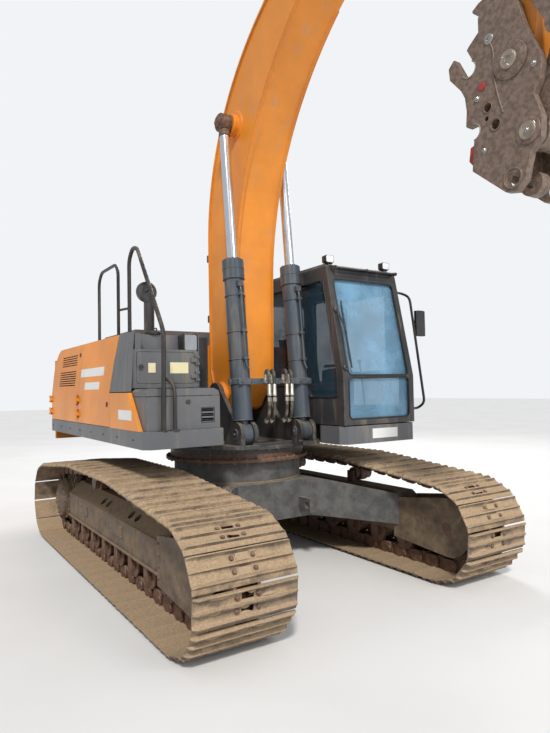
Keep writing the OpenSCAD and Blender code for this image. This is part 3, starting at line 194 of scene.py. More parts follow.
def painted(name, colour, gloss=0.38, dust=0.35, wear=(0.12, 0.09, 0.07), chips=0.62, edge=0.006):
    """Paint on steel, with faded patches, dust on what faces up, chips and worn edges."""
    k = Mat(name)
    soft = k.rounded(edge)
    patches = k.noise(1.3, 5)
    base = k.mix(k.ramp(patches, 0.35, 0.7), shade(colour, 0.86), shade(colour, 1.08))
    streak = k.noise(9, 4, 0.6, 0.4, stretch=(1.0, 1.0, 0.12))
    base = k.mix(k.mul(k.ramp(streak, 0.52, 0.75), 0.35), base, shade(DUST, 0.8))
    grain = k.noise(38, 6, 0.7)
    up = k.ramp(k.split(k.normal())["Z"], 0.25, 0.95)
    dusty = k.mul(k.add(k.mul(up, 0.8), 0.12), k.ramp(k.noise(3.5, 6, 0.62), 0.3, 0.72))
    base = k.mix(k.mul(dusty, dust), base, DUST)
    chip = k.ramp(k.noise(22, 8, 0.75), chips, chips + 0.05)
    worn = k.mul(k.ramp(k.edges(soft), 0.02, 0.14), k.ramp(k.noise(14, 5, 0.7), 0.45, 0.62))
    marks = k.add(chip, worn)
    base = k.mix(marks, base, wear)
    rough = k.add(k.mul(k.noise(5, 5), 0.22), k.add(gloss - 0.12, k.mul(dusty, 0.4)))
    k.set(Base_Color=base, Roughness=rough,
        Normal=k.bump(k.sub(grain, k.mul(marks, 0.5)), 0.0012, 0.35, soft))
    return k.m


def muddy(name, sand, under, cover=0.5, lumps=0.012, scale=7.0, shine=0.0):
    """Steel under dried mud and sand."""
    k = Mat(name)
    soft = k.rounded(0.006)
    cake = k.noise(scale, 9, 0.68, 0.3)
    fine = k.noise(scale * 9, 6, 0.7)
    up = k.ramp(k.split(k.normal())["Z"], -0.4, 0.9)
    amount = k.ramp(k.add(k.mul(cake, 0.75), k.mul(up, 0.28)), cover - 0.12, cover + 0.14)
    clay = k.mix(k.ramp(fine, 0.3, 0.7), shade(sand, 0.72), shade(sand, 1.12))
    steel = k.mix(k.ramp(k.noise(scale * 2.2, 6, 0.7), 0.35, 0.65), under, shade(under, 1.9))
    base = k.mix(amount, steel, clay)
    bare = k.mul(k.ramp(k.edges(soft), 0.03, 0.2), k.ramp(k.noise(scale * 3, 4), 0.4, 0.6))
    base = k.mix(k.mul(bare, 0.7), base, (0.40, 0.34, 0.28))
    rough = k.add(0.62 - shine, k.mul(amount, 0.3))
    tall = k.add(k.mul(amount, 0.6), k.mul(fine, 0.25))
    k.set(Base_Color=base, Roughness=rough, Normal=k.bump(tall, lumps, 0.7, soft))
    return k.m


def plain(name, colour, rough=0.4, metallic=0.0, scale=30.0, depth=0.0006, vary=0.18, edge=0.003):
    """One colour with slight mottling, grain and soft edges."""
    k = Mat(name)
    fine = k.noise(scale, 6, 0.65)
    base = k.mix(k.ramp(k.noise(scale * 0.2, 4), 0.3, 0.7), shade(colour, 1 - vary), shade(colour, 1 + vary))
    k.set(Base_Color=base, Roughness=k.add(rough - 0.06, k.mul(fine, 0.14)), Metallic=metallic,
        Normal=k.bump(fine, depth, 0.5, k.rounded(edge)))
    return k.m


def braided(name, colour):
    """Hose cover of fine crossed braid, with dusty patches."""
    k = Mat(name)
    weave = k.cells(340.0)
    dust = k.ramp(k.noise(14, 5, 0.7), 0.42, 0.72)
    base = k.mix(k.ramp(weave, 0.15, 0.55), shade(colour, 1.5), shade(colour, 0.5))
    k.set(Base_Color=k.mix(k.mul(dust, 0.45), base, DUST), Roughness=0.62, Normal=k.bump(weave, 0.0010, 0.6))
    return k.m


def chrome(name, eye, reach):
    """Polished rod whose eye, within reach of the pin at eye = (x, z), is rusty and dirty."""
    k = Mat(name)
    place = k.split(k.coord)
    dx, dz = k.math("SUBTRACT", place["X"], eye[0]), k.math("SUBTRACT", place["Z"], eye[1])
    away = k.math("SQRT", k.math("ADD", k.math("POWER", dx, 2.0), k.math("POWER", dz, 2.0)))
    dirty = k.ramp(k.math("ADD", away, k.mul(k.noise(30, 4), 0.01)), reach + 0.010, reach)
    lines = k.noise(60, 4, 0.6, 0, stretch=(1.0, 1.0, 0.05))
    smear = k.noise(4, 5, 0.6)
    bare = k.mix(k.ramp(smear, 0.5, 0.8), (0.82, 0.84, 0.87), (0.55, 0.53, 0.50))
    rust = k.mix(k.ramp(k.noise(24, 7, 0.7), 0.35, 0.65), (0.085, 0.045, 0.028), (0.20, 0.125, 0.08))
    k.set(Base_Color=k.mix(dirty, bare, rust), Metallic=k.sub(1.0, dirty),
        Roughness=k.add(k.add(0.10, k.mul(dirty, 0.5)), k.mul(smear, 0.16)),
        Normal=k.bump(lines, 0.0003, 0.2))
    return k.m


def reflection_painted_glass(name, colour, alpha):
    """Glass with a dirty film, with painted shade on faces seen from the side and a painted reflection on
    faces that look forward.
    """
    k = Mat(name)
    film = k.noise(2.2, 5, 0.6)
    specks = k.ramp(k.noise(60, 4, 0.7), 0.62, 0.75)
    # Painted light: faces that look forward get the painted reflection, faces seen from the side get painted
    # shade
    painted_reflection_mask = k.ramp(k.math("POWER", k.split(k.normal())["X"], 2.0), 0.2, 0.8)
    painted_reflection = k.mix(k.ramp(film, 0.35, 0.7), colour, shade(colour, 1.35))
    base = k.mix(painted_reflection_mask, shade(colour, 0.22), painted_reflection)
    k.set(Base_Color=base, Roughness=k.add(0.05, k.mul(specks, 0.3)),
        Alpha=k.add(alpha, k.mul(k.ramp(film, 0.45, 0.8), 0.22)))
    k.m.surface_render_method = "BLENDED"
    return k.m


ORANGE = (0.80, 0.27, 0.022)
M_ORANGE = painted("orange_paint_worn", ORANGE, 0.34, 0.22, chips=0.69)
M_BOOM = painted("orange_paint_boom", ORANGE, 0.36, 0.18, wear=(0.30, 0.12, 0.04), chips=0.66, edge=0.008)
M_GREY = painted("grey_paint_worn", (0.115, 0.120, 0.130), 0.42, 0.5, wear=(0.30, 0.27, 0.23), chips=0.70)
M_DARK = painted("dark_paint_worn", (0.035, 0.036, 0.04), 0.40, 0.5, wear=(0.22, 0.19, 0.16), chips=0.70)
M_BLACK = painted("black_rail_paint", (0.018, 0.018, 0.019), 0.33, 0.35, wear=(0.16, 0.13, 0.11), chips=0.72,
    edge=0.002)
M_TRACK = muddy("track_mud", (0.40, 0.285, 0.175), (0.10, 0.072, 0.050), 0.44)
M_FRAME = muddy("frame_mud", (0.27, 0.185, 0.110), (0.080, 0.055, 0.036), 0.50, 0.010, 4.0)
M_CARBODY = muddy("carbody_mud", (0.30, 0.25, 0.19), (0.06, 0.058, 0.055), 0.62, 0.008, 3.0)
M_CLAY = muddy("dried_clay", (0.42, 0.30, 0.19), (0.27, 0.19, 0.12), 0.30, 0.010, 16.0)
M_RUST = muddy("rusty_iron", (0.24, 0.15, 0.09), (0.085, 0.042, 0.026), 0.58, 0.004, 9.0, 0.08)
M_COUPLER = muddy("coupler_rust", (0.215, 0.145, 0.105), (0.115, 0.078, 0.058), 0.62, 0.003, 15.0, 0.16)
M_TUBE = painted("cylinder_paint", (0.052, 0.070, 0.090), 0.34, 0.4, wear=(0.25, 0.16, 0.10), chips=0.68)
M_CHROME = chrome("rod_chrome", (0.460 + SWING_X, 4.630), 0.150)
M_CHROME_ARM = chrome("arm_rod_chrome", (4.2759 + SWING_X, 7.7944), 0.145)
M_CHROME_LINK = chrome("link_rod_chrome", (4.0719 + SWING_X, 3.8307), 0.135)
M_HOSE = braided("braided_hose", (0.060, 0.052, 0.042))
M_ZINC = plain("zinc_fitting", (0.52, 0.49, 0.43), 0.36, 0.75, 50.0, 0.0005, 0.2)
M_WORN = plain("worn_steel", (0.33, 0.27, 0.205), 0.46, 0.45, 40.0, 0.0010, 0.35)
M_LENS = plain("grey_lens", (0.30, 0.32, 0.34), 0.12, 0.0, 40.0, 0.0008, 0.10)
M_MIRROR = plain("mirror_glass", (0.75, 0.78, 0.80), 0.06, 1.0, 12.0, 0.0001, 0.03)
M_SCREEN = plain("monitor_glass", (0.012, 0.016, 0.022), 0.12, 0.0, 20.0, 0.0001, 0.1)
M_YELLOW = plain("pale_yellow_label", (0.78, 0.70, 0.42), 0.45, 0.0, 18.0, 0.0002, 0.08, 0.001)
# Cab glass: its blue is a painted reflection, with painted shade on faces seen from the side
M_GLASS = reflection_painted_glass("tinted_glass", (0.17, 0.33, 0.47), 0.42)
M_RUBBER = plain("hose_rubber", (0.018, 0.018, 0.018), 0.5, 0.0, 80.0, 0.0004)
M_SEAT = plain("seat_fabric", (0.03, 0.03, 0.033), 0.85, 0.0, 220.0, 0.0012)
M_PLASTIC = plain("cab_plastic", (0.05, 0.05, 0.052), 0.55, 0.0, 140.0, 0.0006)
M_LAMP = plain("lamp_lens", (0.80, 0.82, 0.84), 0.12, 0.0, 40.0, 0.0008, 0.06)
M_RED = painted("red_paint_worn", (0.40, 0.03, 0.02), 0.42, 0.4, wear=(0.12, 0.07, 0.05), chips=0.60)
M_STEEL = plain("fitting_steel", (0.42, 0.41, 0.39), 0.32, 0.9, 60.0, 0.0004, 0.12)
M_LABEL = plain("blank_label", (0.72, 0.72, 0.70), 0.4, 0.0, 18.0, 0.0002, 0.05, 0.001)

LOOKS = (
    (M_CARBODY, "carbody"),
    (M_RUST, "slew_ring idlers track_rollers"),
    (M_FRAME, "track_frames sprockets"),
    (M_TRACK, "track_right track_left"),
    (M_DARK, "main_frame engine_block hydraulic_tank exhaust cab_shell cab_door"),
    (M_GREY, "deck_right deck_left hood fuel_tank tank_door toolbox toolbox_lid cab_roof"),
    (M_ORANGE, "counterweight engine_housing side_panel_right door_right_rear door_right_mid door_left_rear"),
    (M_BLACK, "handrails mirrors boom_pipes"),
    (M_GLASS, "cab_glass door_glass"),
    (M_SEAT, "cab_interior"),
    (M_LAMP, "work_lights"),
    (M_RUBBER, "cylinder_hoses"),
    (M_BOOM, "boom arm"),
    (M_TUBE, "boom_cylinder_tubes arm_cylinder_tube link_cylinder_tube"),
    (M_CHROME, "boom_cylinder_rods"),
    (M_CHROME_ARM, "arm_cylinder_rod"),
    (M_CHROME_LINK, "link_cylinder_rod"),
    (M_COUPLER, "rocker_links tipping_link coupler"),
    (M_RED, "coupler_lock"))
for material, names in LOOKS:
    for name in names.split():
        slots = nodes[name].data.materials
        slots.clear()
        slots.append(material)


# Mesh building

def spokes(axis, count, start=0.0):
    """Unit vectors round an axis, evenly spaced."""
    w = Vector(axis).normalized()
    u = w.orthogonal().normalized()
    v = w.cross(u)
    turn = (start + 2 * math.pi * i / count for i in range(count))
    return [math.cos(t) * u + math.sin(t) * v for t in turn]


class Build:
    """Collects closed forms into one mesh."""

    def __init__(self):
        self.verts, self.faces = [], []

    def loft(self, rings):
        """Closed skin through rings of equal point count, capped at both ends."""
        base, n = len(self.verts), len(rings[0])
        self.verts += [Vector(p) for ring in rings for p in ring]
        for i in range(len(rings) - 1):
            for j in range(n):
                a, b = base + i * n + j, base + i * n + (j + 1) % n
                self.faces.append((a, b, b + n, a + n))
        self.faces.append(tuple(range(base + n - 1, base - 1, -1)))
        self.faces.append(tuple(range(base + (len(rings) - 1) * n, base + len(rings) * n)))

    def box(self, low, high, turn=None):
        """Block between two corners, turned about its middle."""
        a, b = Vector(low), Vector(high)
        c, m = (a + b) / 2, turn or Matrix.Identity(3)
        flat = ((a.x, a.y), (b.x, a.y), (b.x, b.y), (a.x, b.y))
        self.loft([[c + m @ (Vector((x, y, z)) - c) for x, y in flat] for z in (a.z, b.z)])

    def slab(self, outline, origin, u, v, thick):
        """Plate with its back face at origin and its outline in the plane of u and v."""
        u, v = Vector(u).normalized(), Vector(v).normalized()
        w = u.cross(v).normalized()
        self.loft([[Vector(origin) + u * p[0] + v * p[1] + w * h for p in outline] for h in (0, thick)])

    def turned(self, start, axis, profile, sides=24):
        """Round form from pairs of distance along the axis and radius."""
        w, ring = Vector(axis).normalized(), spokes(axis, sides)
        self.loft([[Vector(start) + w * d + r * spoke for spoke in ring] for d, r in profile])

    def wrap(self, rings):
        """Closed skin round a closed row of rings."""
        base, count, n = len(self.verts), len(rings), len(rings[0])
        self.verts += [p for ring in rings for p in ring]
        for i in range(count):
            for j in range(n):
                a, b = base + i * n + j, base + i * n + (j + 1) % n
                c, d = base + (i + 1) % count * n + j, base + (i + 1) % count * n + (j + 1) % n
                self.faces.append((a, b, d, c))

    def hoop(self, start, axis, profile, sides=40):
        """Ring whose closed section is given as for turned, open through its middle."""
        w = Vector(axis).normalized()
        self.wrap([[Vector(start) + w * d + r * spoke for d, r in profile] for spoke in spokes(axis, sides)])

    def bolt(self, place, axis, r=0.014):
        """Hexagon head on a washer."""
        w = Vector(axis).normalized()
        self.turned(place, w, [(-0.001, r * 1.4), (r * 0.2, r * 1.4), (r * 0.25, r * 1.3)], 14)
        self.turned(Vector(place) + w * r * 0.2, w, [(0, r), (r * 0.65, r), (r * 0.8, r * 0.84)], 6)

    def tube(self, route, r, sides=12, bend=0.06, steps=5):
        """Round bar along a route whose corners are eased."""
        pts = eased(route, bend, steps)
        along = [(pts[min(i + 1, len(pts) - 1)] - pts[max(i - 1, 0)]).normalized() for i in range(len(pts))]
        n = along[0].orthogonal().normalized()
        rings = []
        for p, t in zip(pts, along):
            n = (n - n.dot(t) * t).normalized()
            c = t.cross(n)
            turn = (2 * math.pi * k / sides for k in range(sides))
            rings.append([p + r * (math.cos(a) * n + math.sin(a) * c) for a in turn])
        self.loft(rings)

    def piece(self, name, body, slot, material, smooth=35.0, bevel=0.0, replaces=()):
        """Mesh object of what was collected, on a body; the slot is not used."""
        me = bpy.data.meshes.new(name)
        me.from_pydata([tuple(v) for v in self.verts], [], self.faces)
        me.materials.append(material)
        bm = bmesh.new()
        bm.from_mesh(me)
        bmesh.ops.recalc_face_normals(bm, faces=bm.faces)
        bm.to_mesh(me)
        bm.free()
        me.polygons.foreach_set("use_smooth", [True] * len(me.polygons))
        me.set_sharp_from_angle(angle=math.radians(smooth))
        obj = linked(name, me)
        if bevel:
            mod = obj.modifiers.new("edge", "BEVEL")
            mod.width, mod.segments = bevel, 2
            mod.limit_method, mod.angle_limit = "ANGLE", math.radians(40)
        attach(obj, body)
        if replaces:
            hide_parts(*replaces)
        return obj


def eased(route, bend, steps):
    """Route with each inner corner replaced by a short curve."""
    p = [Vector(q) for q in route]
    out = [p[0]]
    for i in range(1, len(p) - 1):
        a, c = p[i - 1] - p[i], p[i + 1] - p[i]
        s = p[i] + a.normalized() * min(bend, a.length * 0.45)
        e = p[i] + c.normalized() * min(bend, c.length * 0.45)
        for k in range(steps + 1):
            u = k / steps
            out.append((1 - u) ** 2 * s + 2 * u * (1 - u) * p[i] + u * u * e)
    out.append(p[-1])
    return out


# Tracks: each shoe is a plate with three grousers, two openings and four bolts, on two rows of links

TRACK_BASE, GAUGE, SHOE_W, SHOES = 4.040, 2.600, 0.800, 48
PIN_R, LINK_H, SHOE_T, GROUSER_H = 0.366, 0.058, 0.014, 0.032
WHEEL_Z = PIN_R + LINK_H + SHOE_T + GROUSER_H
LOOP = ((TRACK_BASE / 2, WHEEL_Z, PIN_R), (0.600, 0.831, 0.130), (-0.700, 0.831, 0.130),
    (-TRACK_BASE / 2, WHEEL_Z, PIN_R))


def chain_pins():
    """Pin centres round the loop, placed as in the part's source, as (x, z) in the machine frame."""

    def leave(i):
        a, b = LOOP[i % 4], LOOP[(i + 1) % 4]
        dx, dz = b[0] - a[0], b[1] - a[1]
        return math.atan2(dz, dx) - math.acos((a[2] - b[2]) / math.hypot(dx, dz))

    def on(c, angle):
        return Vector((c[0] + c[2] * math.cos(angle), c[1] + c[2] * math.sin(angle)))

    stretches = []
    for i in range(4):
        a0, a1 = leave(i - 1), leave(i)
        turn = (a1 - a0 + 0.02) % (2 * math.pi) - 0.02
        stretches.append((LOOP[i][2] * turn, LOOP[i], a0, turn))
        s, e = on(LOOP[i], a1), on(LOOP[(i + 1) % 4], a1)
        stretches.append(((e - s).length, s, e, None))
    total = sum(s[0] for s in stretches)
    found = []
    for j in range(SHOES):
        d = total * j / SHOES
        for length, p, q, turn in stretches:
            if d <= length:
                break
            d -= length
        found.append(p.lerp(q, d / length) if turn is None else on(p, q + d / length * turn))
    return found


def make_track(side, name):
    pins = chain_pins()
    shoes, links, bolts, mud = Build(), Build(), Build(), Build()
    mid_y, half, hole, chamfer, nut = side * GAUGE / 2, SHOE_W / 2, 0.047, 0.028, 0.062
    low, base = LINK_H + 0.004, LINK_H + SHOE_T - 0.001
    top = base + GROUSER_H - 0.001
    for j in range(SHOES):
        a, b = pins[j], pins[(j + 1) % SHOES]
        d, pitch = (b - a).normalized(), (b - a).length
        out, mid = Vector((d.y, -d.x)), (b - a).length / 2
        normal = (out.x, 0, out.y)

        def point(u, y, h):
            q = a + d * u + out * h
            return at(q.x, mid_y + y, q.y)

        # Sections of the leading, middle and trailing grouser, each with its stretch of plate
        lead = [(0.010, low), (0.005, base + 0.004), (0.008, top - 0.003), (0.017, top),
            (0.026, base + 0.007), (0.036, base), (0.040, low)]
        rib = [(mid - 0.024, low), (mid - 0.019, base), (mid - 0.009, base + 0.007), (mid - 0.006, top),
            (mid + 0.006, top), (mid + 0.009, base + 0.007), (mid + 0.019, base), (mid + 0.024, low)]
        trail = [(pitch - u, h) for u, h in reversed(lead)]
        lead = [(0.012, low), (-0.028, low - 0.011), (-0.030, low - 0.005)] + lead[1:]
        whole = lead[:-1] + rib[1:-1] + trail[1:]

        def strip(section, ys):
            rings = []
            for y in ys:
                end = max(0.0, 1 - (half - abs(y)) / chamfer)
                worn = random.uniform(-0.0035, 0.0)
                ring = []
                for u, h in section:
                    if h >= base + 0.001:
                        h = base + (h - base) * (1 - 0.7 * end) + worn * (h > base + 0.02)
                    ring.append(point(u, y, h))
                rings.append(ring)
            shoes.loft(rings)

        steps = [hole, 0.10, 0.15, 0.20, 0.25, 0.30, 0.35, half - chamfer, half - 0.010, half]
        strip(whole, [-y for y in reversed(steps)])
        strip(whole, steps)
        for section in (lead, rib, trail):
            strip(section, [-hole, 0.0, hole])
        # Dried mud that has filled some openings and lies against the grousers
        for u0, u1 in ((0.036, mid - 0.022), (mid + 0.022, pitch - 0.036)):
            if random.random() < 0.45:
                depth = random.uniform(0.0, 0.012)
                cake = ((u0 - 0.002, low), (u0 - 0.002, base + depth), ((u0 + u1) / 2, base + depth * 0.4),
                    (u1 + 0.002, base + depth), (u1 + 0.002, low))
                mud.loft([[point(u, y, h) for u, h in cake] for y in (-hole - 0.002, 0.0, hole + 0.002)])
            for _ in range(3):
                y = random.uniform(-half + 0.06, half - 0.06)
                w, u, tall = random.uniform(0.03, 0.09), random.choice((u0, u1)), random.uniform(0.006, 0.016)
                y = max(w + 0.004 - half, min(half - w - 0.004, y))
                heap = []
                for t, k in ((-1, 0.15), (-0.6, 0.7), (0, 1.0), (0.55, 0.8), (1, 0.15)):
                    section = ((-0.020, -0.003), (0, tall * k), (0.020, -0.003))
                    heap.append([point(u + du * k, y + w * t, base + h) for du, h in section])
                mud.loft(heap)
        for y in (-0.082, 0.082):
            for u in (nut, pitch - nut):
                p = point(u, y, base)
                bolts.turned(p, normal, [(-0.001, 0.019), (0.003, 0.019)], 14)
                bolts.turned(p, normal, [(0.002, 0.016), (0.013, 0.016), (0.016, 0.012)], 6)
        # Two links with bosses round the pins, closer together at their leading ends
        for s in (-1, 1):
            for y0, y1, u0, u1 in ((0.060, 0.083, -0.030, mid), (0.082, 0.105, mid - 0.02, pitch + 0.030)):
                lower = [(0, -0.022), (0.016, -0.046), (0.035, -0.057)]
                upper = [(0.035, 0.0612), (0.016, 0.046), (0, 0.022)]
                profile = [(u0 + du, h) for du, h in lower] + [(u1 - du, h) for du, h in reversed(lower)]
                profile += [(u1 - du, h) for du, h in reversed(upper)] + [(u0 + du, h) for du, h in upper]
                links.loft([[point(u, s * y, h) for u, h in profile] for y in (y0, y1)])
        links.turned(point(0, -0.112, 0), ACROSS,
            [(0, 0.020), (0.003, 0.024), (0.221, 0.024), (0.224, 0.020)], 14)
        links.turned(point(0, -0.061, 0), ACROSS, [(0, 0.033), (0.122, 0.033)], 16)
    shoes.piece("track_shoes_" + name, "undercarriage", "undercarriage_mud", M_TRACK, 38,
        replaces=("track_" + name,))
    mud.piece("track_mud_" + name, "undercarriage", "undercarriage_mud", M_CLAY, 60)
    links.piece("track_links_" + name, "undercarriage", "rusty_iron", M_RUST, 38)
    bolts.piece("track_bolts_" + name, "undercarriage", "rusty_iron", M_RUST, 38)


make_track(-1, "right")
make_track(1, "left")


# Small forms: shared shapes. Places are in the part's millimetres, radii and widths of bolts in metres.

SIDE_Y, WAIST_Z, PANEL_TOP, LEAN_IN = 1500, 1800, 2370, 60


def wall_y(z, side=-1):
    """Y of a side wall's outer face at height z, in millimetres."""
    return side * (SIDE_Y - max(0.0, z - WAIST_Z) * LEAN_IN / (PANEL_TOP - WAIST_Z))


def rounded_outline(w, h, r, n=5):
    """Rectangle with round corners about its middle."""
    pts = []
    for cx, cy, a in ((w / 2 - r, h / 2 - r, 0), (r - w / 2, h / 2 - r, 90), (r - w / 2, r - h / 2, 180),
            (w / 2 - r, r - h / 2, 270)):
        for k in range(n + 1):
            t = math.radians(a + 90 * k / n)
            pts.append((cx + r * math.cos(t), cy + r * math.sin(t)))
    return pts


def block_x(build, y, z, r, sections):
    """Block of rounded rectangles about (y, z), each section with its x, width and height."""
    build.loft([[mm(x, y + u, z + v) for u, v in rounded_outline(w, h, r)] for x, w, h in sections])


def across_y(build, points, ys):
    """Prism with its section in the XZ plane, between two places on Y."""
    build.loft([[mm(x, y, z) for x, z in points] for y in ys])


def circle_points(centre, normal, radius, count=40):
    return [Vector(centre) + radius * spoke for spoke in spokes(normal, count)]


def ring_of(build, centre, normal, radius, count, r, start=0.0):
    """Bolts on a circle."""
    for spoke in spokes(normal, count, start):
        build.bolt(Vector(centre) + radius * spoke, normal, r)


def closed_tube(build, points, r, sides=8):
    """Bead or gasket along a closed line."""
    pts = [Vector(p) for p in points]
    middle = sum(pts, Vector()) / len(pts)
    rings = []
    for i, p in enumerate(pts):
        t = (pts[(i + 1) % len(pts)] - pts[i - 1]).normalized()
        side = ((p - middle) - (p - middle).dot(t) * t).normalized()
        other = t.cross(side)
        turn = (2 * math.pi * k / sides for k in range(sides))
        rings.append([p + r * (math.cos(a) * side + math.sin(a) * other) for a in turn])
    build.wrap(rings)


def bead_ring(build, centre, normal, radius, r, count, sides=8):
    """Round bead, such as a weld."""
    closed_tube(build, circle_points(centre, normal, radius, count), r, sides)


def latch(build, place, normal, r):
    """Round push latch in a raised ring."""
    rim = [(-0.002, r), (0.004, r), (0.006, r * 0.9), (0.006, r * 0.72), (0.002, r * 0.7), (0.002, 0.001)]
    build.turned(place, normal, rim, 24)
    build.turned(place, normal, [(0.0, r * 0.55), (0.006, r * 0.55), (0.008, r * 0.45)], 20)


# Undercarriage

RACE_R, TUB_R, FRAME_FACE = 765, 703, 1465


def undercarriage_details():
    low, high, plates, beads = Build(), Build(), Build(), Build()
    for i in range(40):
        t = math.pi * (i + 0.5) / 20
        x, y = RACE_R * math.cos(t), RACE_R * math.sin(t)
        low.bolt(mm(x, y, 1115), UP, 0.013)
        low.bolt(mm(x, y, 1085), (0, 0, -1), 0.015)
        high.bolt(mm(x, y, 1210), (0, 0, -1), 0.014)
    for s in (-1, 1):
        out, face = (0, s, 0), s * FRAME_FACE
        # Sprocket and idler: bolts round the hubs
        for x, y, radius, count, r in ((-2020, 1466, 0.197, 16, 0.012), (-2020, 1417, 0.240, 24, 0.010),
                (-2020, 1504, 0.060, 3, 0.013), (2020, 1485, 0.085, 6, 0.010)):
            ring_of(low, mm(x, s * y, 470), out, radius, count, r)
        for z in (340, 430, 520, 610):
            low.bolt(mm(1352, s * 1485, z), out, 0.011)
        # Ledge along the foot of the frame, cover plate with its bolts, and the track adjuster's lid
        plates.box(mm(-1555, min(face, face + s * 22), 344), mm(1318, max(face, face + s * 22), 362))
        for x, w in ((240, 0.34), (-900, 0.26)):
            plates.slab(rounded_outline(w, 0.12, 0.025), mm(x, face - s, 505), (s, 0, 0), UP, -0.007)
            for dx in (-1, 1):
                for dz in (-1, 1):
                    low.bolt(mm(x + dx * (w * 500 - 22), face + s * 6, 505 + dz * 42), out, 0.008)
        for x in (-1180, -560, 760):
            beads.tube([mm(x, face, 366), mm(x, face + s, 600)], 0.005, 8)
        beads.tube([mm(1317, face, 340), mm(1317, face, 668)], 0.006, 8)
        beads.tube([mm(-1550, s * 1464, 612), mm(1316, s * 1464, 612)], 0.006, 8)
        for m in (-1, 1):
            # Welds between the centre frame's legs and the track frames
            beads.tube([mm(m * 820, s * 1134, 470), mm(m * 820, s * 1134, 705)], 0.009, 8)
            beads.tube([mm(m * 1400, s * 1134, 430), mm(m * 1400, s * 1134, 690)], 0.009, 8)
    bead_ring(beads, mm(0, 0, 872), UP, TUB_R / 1000, 0.010, 64)
    bead_ring(beads, mm(0, 0, 1083), UP, TUB_R / 1000, 0.008, 64)
    low.piece("undercarriage_bolts", "undercarriage", "rusty_iron", M_RUST)
    high.piece("ring_bolts_high", "house", "rusty_iron", M_RUST)
    plates.piece("frame_plates", "undercarriage", "undercarriage_mud", M_FRAME, 35, 0.003)
    beads.piece("undercarriage_welds", "undercarriage", "undercarriage_mud", M_FRAME, 60)


undercarriage_details()


# Cylinders, each between two pins given as (x, z)

CYL_FOOT, ROD_PIN, NOSE = (780, 1380), (460, 4630), (3900, 6980)
ARM_CYL_FOOT, ARM_TAIL = (1230, 6040), (4275.9, 7794.4)
LINK_FOOT, KNEE = (4315.2, 6631.6), (4071.9, 3830.7)
TIP, LINK = (3758.1, 3730.1), (3858.1, 3270.1)
BOOM_CYL_Y = 355


def ram_axes(a, b):
    """Unit vectors along a cylinder and out from its front, in the XZ plane."""
    d = Vector((b[0] - a[0], 0, b[1] - a[1])).normalized()
    return d, Vector((d.z, 0, -d.x))


def ram_details(build, welds, a, b, y, r, length, eye_r, rod_r):
    """Gland with its bolts and lip, weld beads, and the oil pipe down the front of the barrel."""
    d, n = ram_axes(a, b)
    side = Vector(ACROSS)
    foot = Vector((a[0], y, a[1]))
    turn = Matrix((n, side, d)).transposed()
    gland = r * 2
    port = length - gland * 1.35
    bore, barrel = (rod_r + 2) / 1000, r / 1000

    def on(t, front=0.0, across=0.0):
        return mm(*(foot + d * t + n * front + side * across))

    def block(middle, half):
        build.box(middle - Vector(half), middle + Vector(half), turn)

    lip = [(0, bore), (0, barrel + 0.004), (0.010, barrel + 0.004), (0.014, barrel - 0.008), (0.014, bore)]
    build.hoop(on(length - 2), d, lip)
    ring_of(build, on(length + 7), d, (r - 16) / 1000, 10, 0.011)
    band = [(0, barrel - 0.002), (0.001, barrel + 0.015), (0.012, barrel + 0.015), (0.013, barrel - 0.002)]
    for t in (length - gland - 6, length - gland * 0.5):
        build.hoop(on(t), d, band)
    bead_ring(welds, on(eye_r + 32), d, barrel + 0.001, 0.006, 36)
    bead_ring(welds, on(length - gland - 1), d, barrel + 0.002, 0.005, 36)
    block(on(port, r + 14), (0.026, 0.030, 0.030))
    for s in (-1, 1):
        build.bolt(on(port - s * 18, r + 40, s * 18), n, 0.007)
    pipe = [on(port, r + 12), on(port - 60, r + 34), on(700, r + 34), on(640, r + 40, 20)]
    build.tube(pipe, 0.012, 12, 0.03)
    for t in (740, 1020, port - 110):
        bead_ring(build, on(t), d, barrel + 0.004, 0.005, 36, 6)
        block(on(t, r + 26), (0.024, 0.024, 0.012))


def ram_pieces(build, welds, name, body):
    build.piece(name + "_fittings", body, "dark_paint", M_TUBE, 35, 0.0015)
    welds.piece(name + "_welds", body, "dark_paint", M_TUBE, 60)


def cylinders():
    tubes, welds, caps = Build(), Build(), Build()
    plate = [(0, 0.050), (0.006, 0.050), (0.010, 0.044), (0.010, 0.001)]
    cap = [(0, 0.088), (0.010, 0.088), (0.016, 0.080), (0.016, 0.058), (0.030, 0.058), (0.034, 0.050),
        (0.034, 0.001)]
    along, _ = ram_axes(CYL_FOOT, ROD_PIN)
    for s in (-1, 1):
        ram_details(tubes, welds, CYL_FOOT, ROD_PIN, s * BOOM_CYL_Y, 98, 1765, 105, 52)
        # Retaining plates on the foot pins
        for face, out in ((s * 450, s), (s * 255, -s)):
            tubes.turned(mm(780, face, 1380), (0, out, 0), plate, 28)
            tubes.bolt(mm(780, face + out * 9, 1380), (0, out, 0), 0.012)
        # Caps on the ends of the rods' upper pins, and the collars below the rods' eyes
        caps.turned(mm(460, s * 404, 4630), (0, s, 0), cap, 36)
        for k in (-1, 1):
            caps.bolt(mm(460 + k * 30, s * 437, 4630), (0, s, 0), 0.011)
        seat = Vector((460, s * BOOM_CYL_Y, 4630)) - along * 152
        caps.turned(mm(*seat), along, [(0, 0.053), (0.004, 0.060), (0.016, 0.060), (0.020, 0.053)], 36)
    ram_pieces(tubes, welds, "boom_tube", "boom_tubes")
    caps.piece("boom_rod_caps", "boom_rods", "rusty_iron", M_RUST, 35)
    for name, a, b, *sizes in (("arm_tube", ARM_CYL_FOOT, ARM_TAIL, 92, 1900, 100, 55),
            ("link_tube", LINK_FOOT, KNEE, 75, 1560, 95, 48)):
        build, beads = Build(), Build()
        ram_details(build, beads, a, b, 0, *sizes)
        ram_pieces(build, beads, name, name)


cylinders()


# Hoses on the boom cylinders: four loops of braided hose between steel fittings

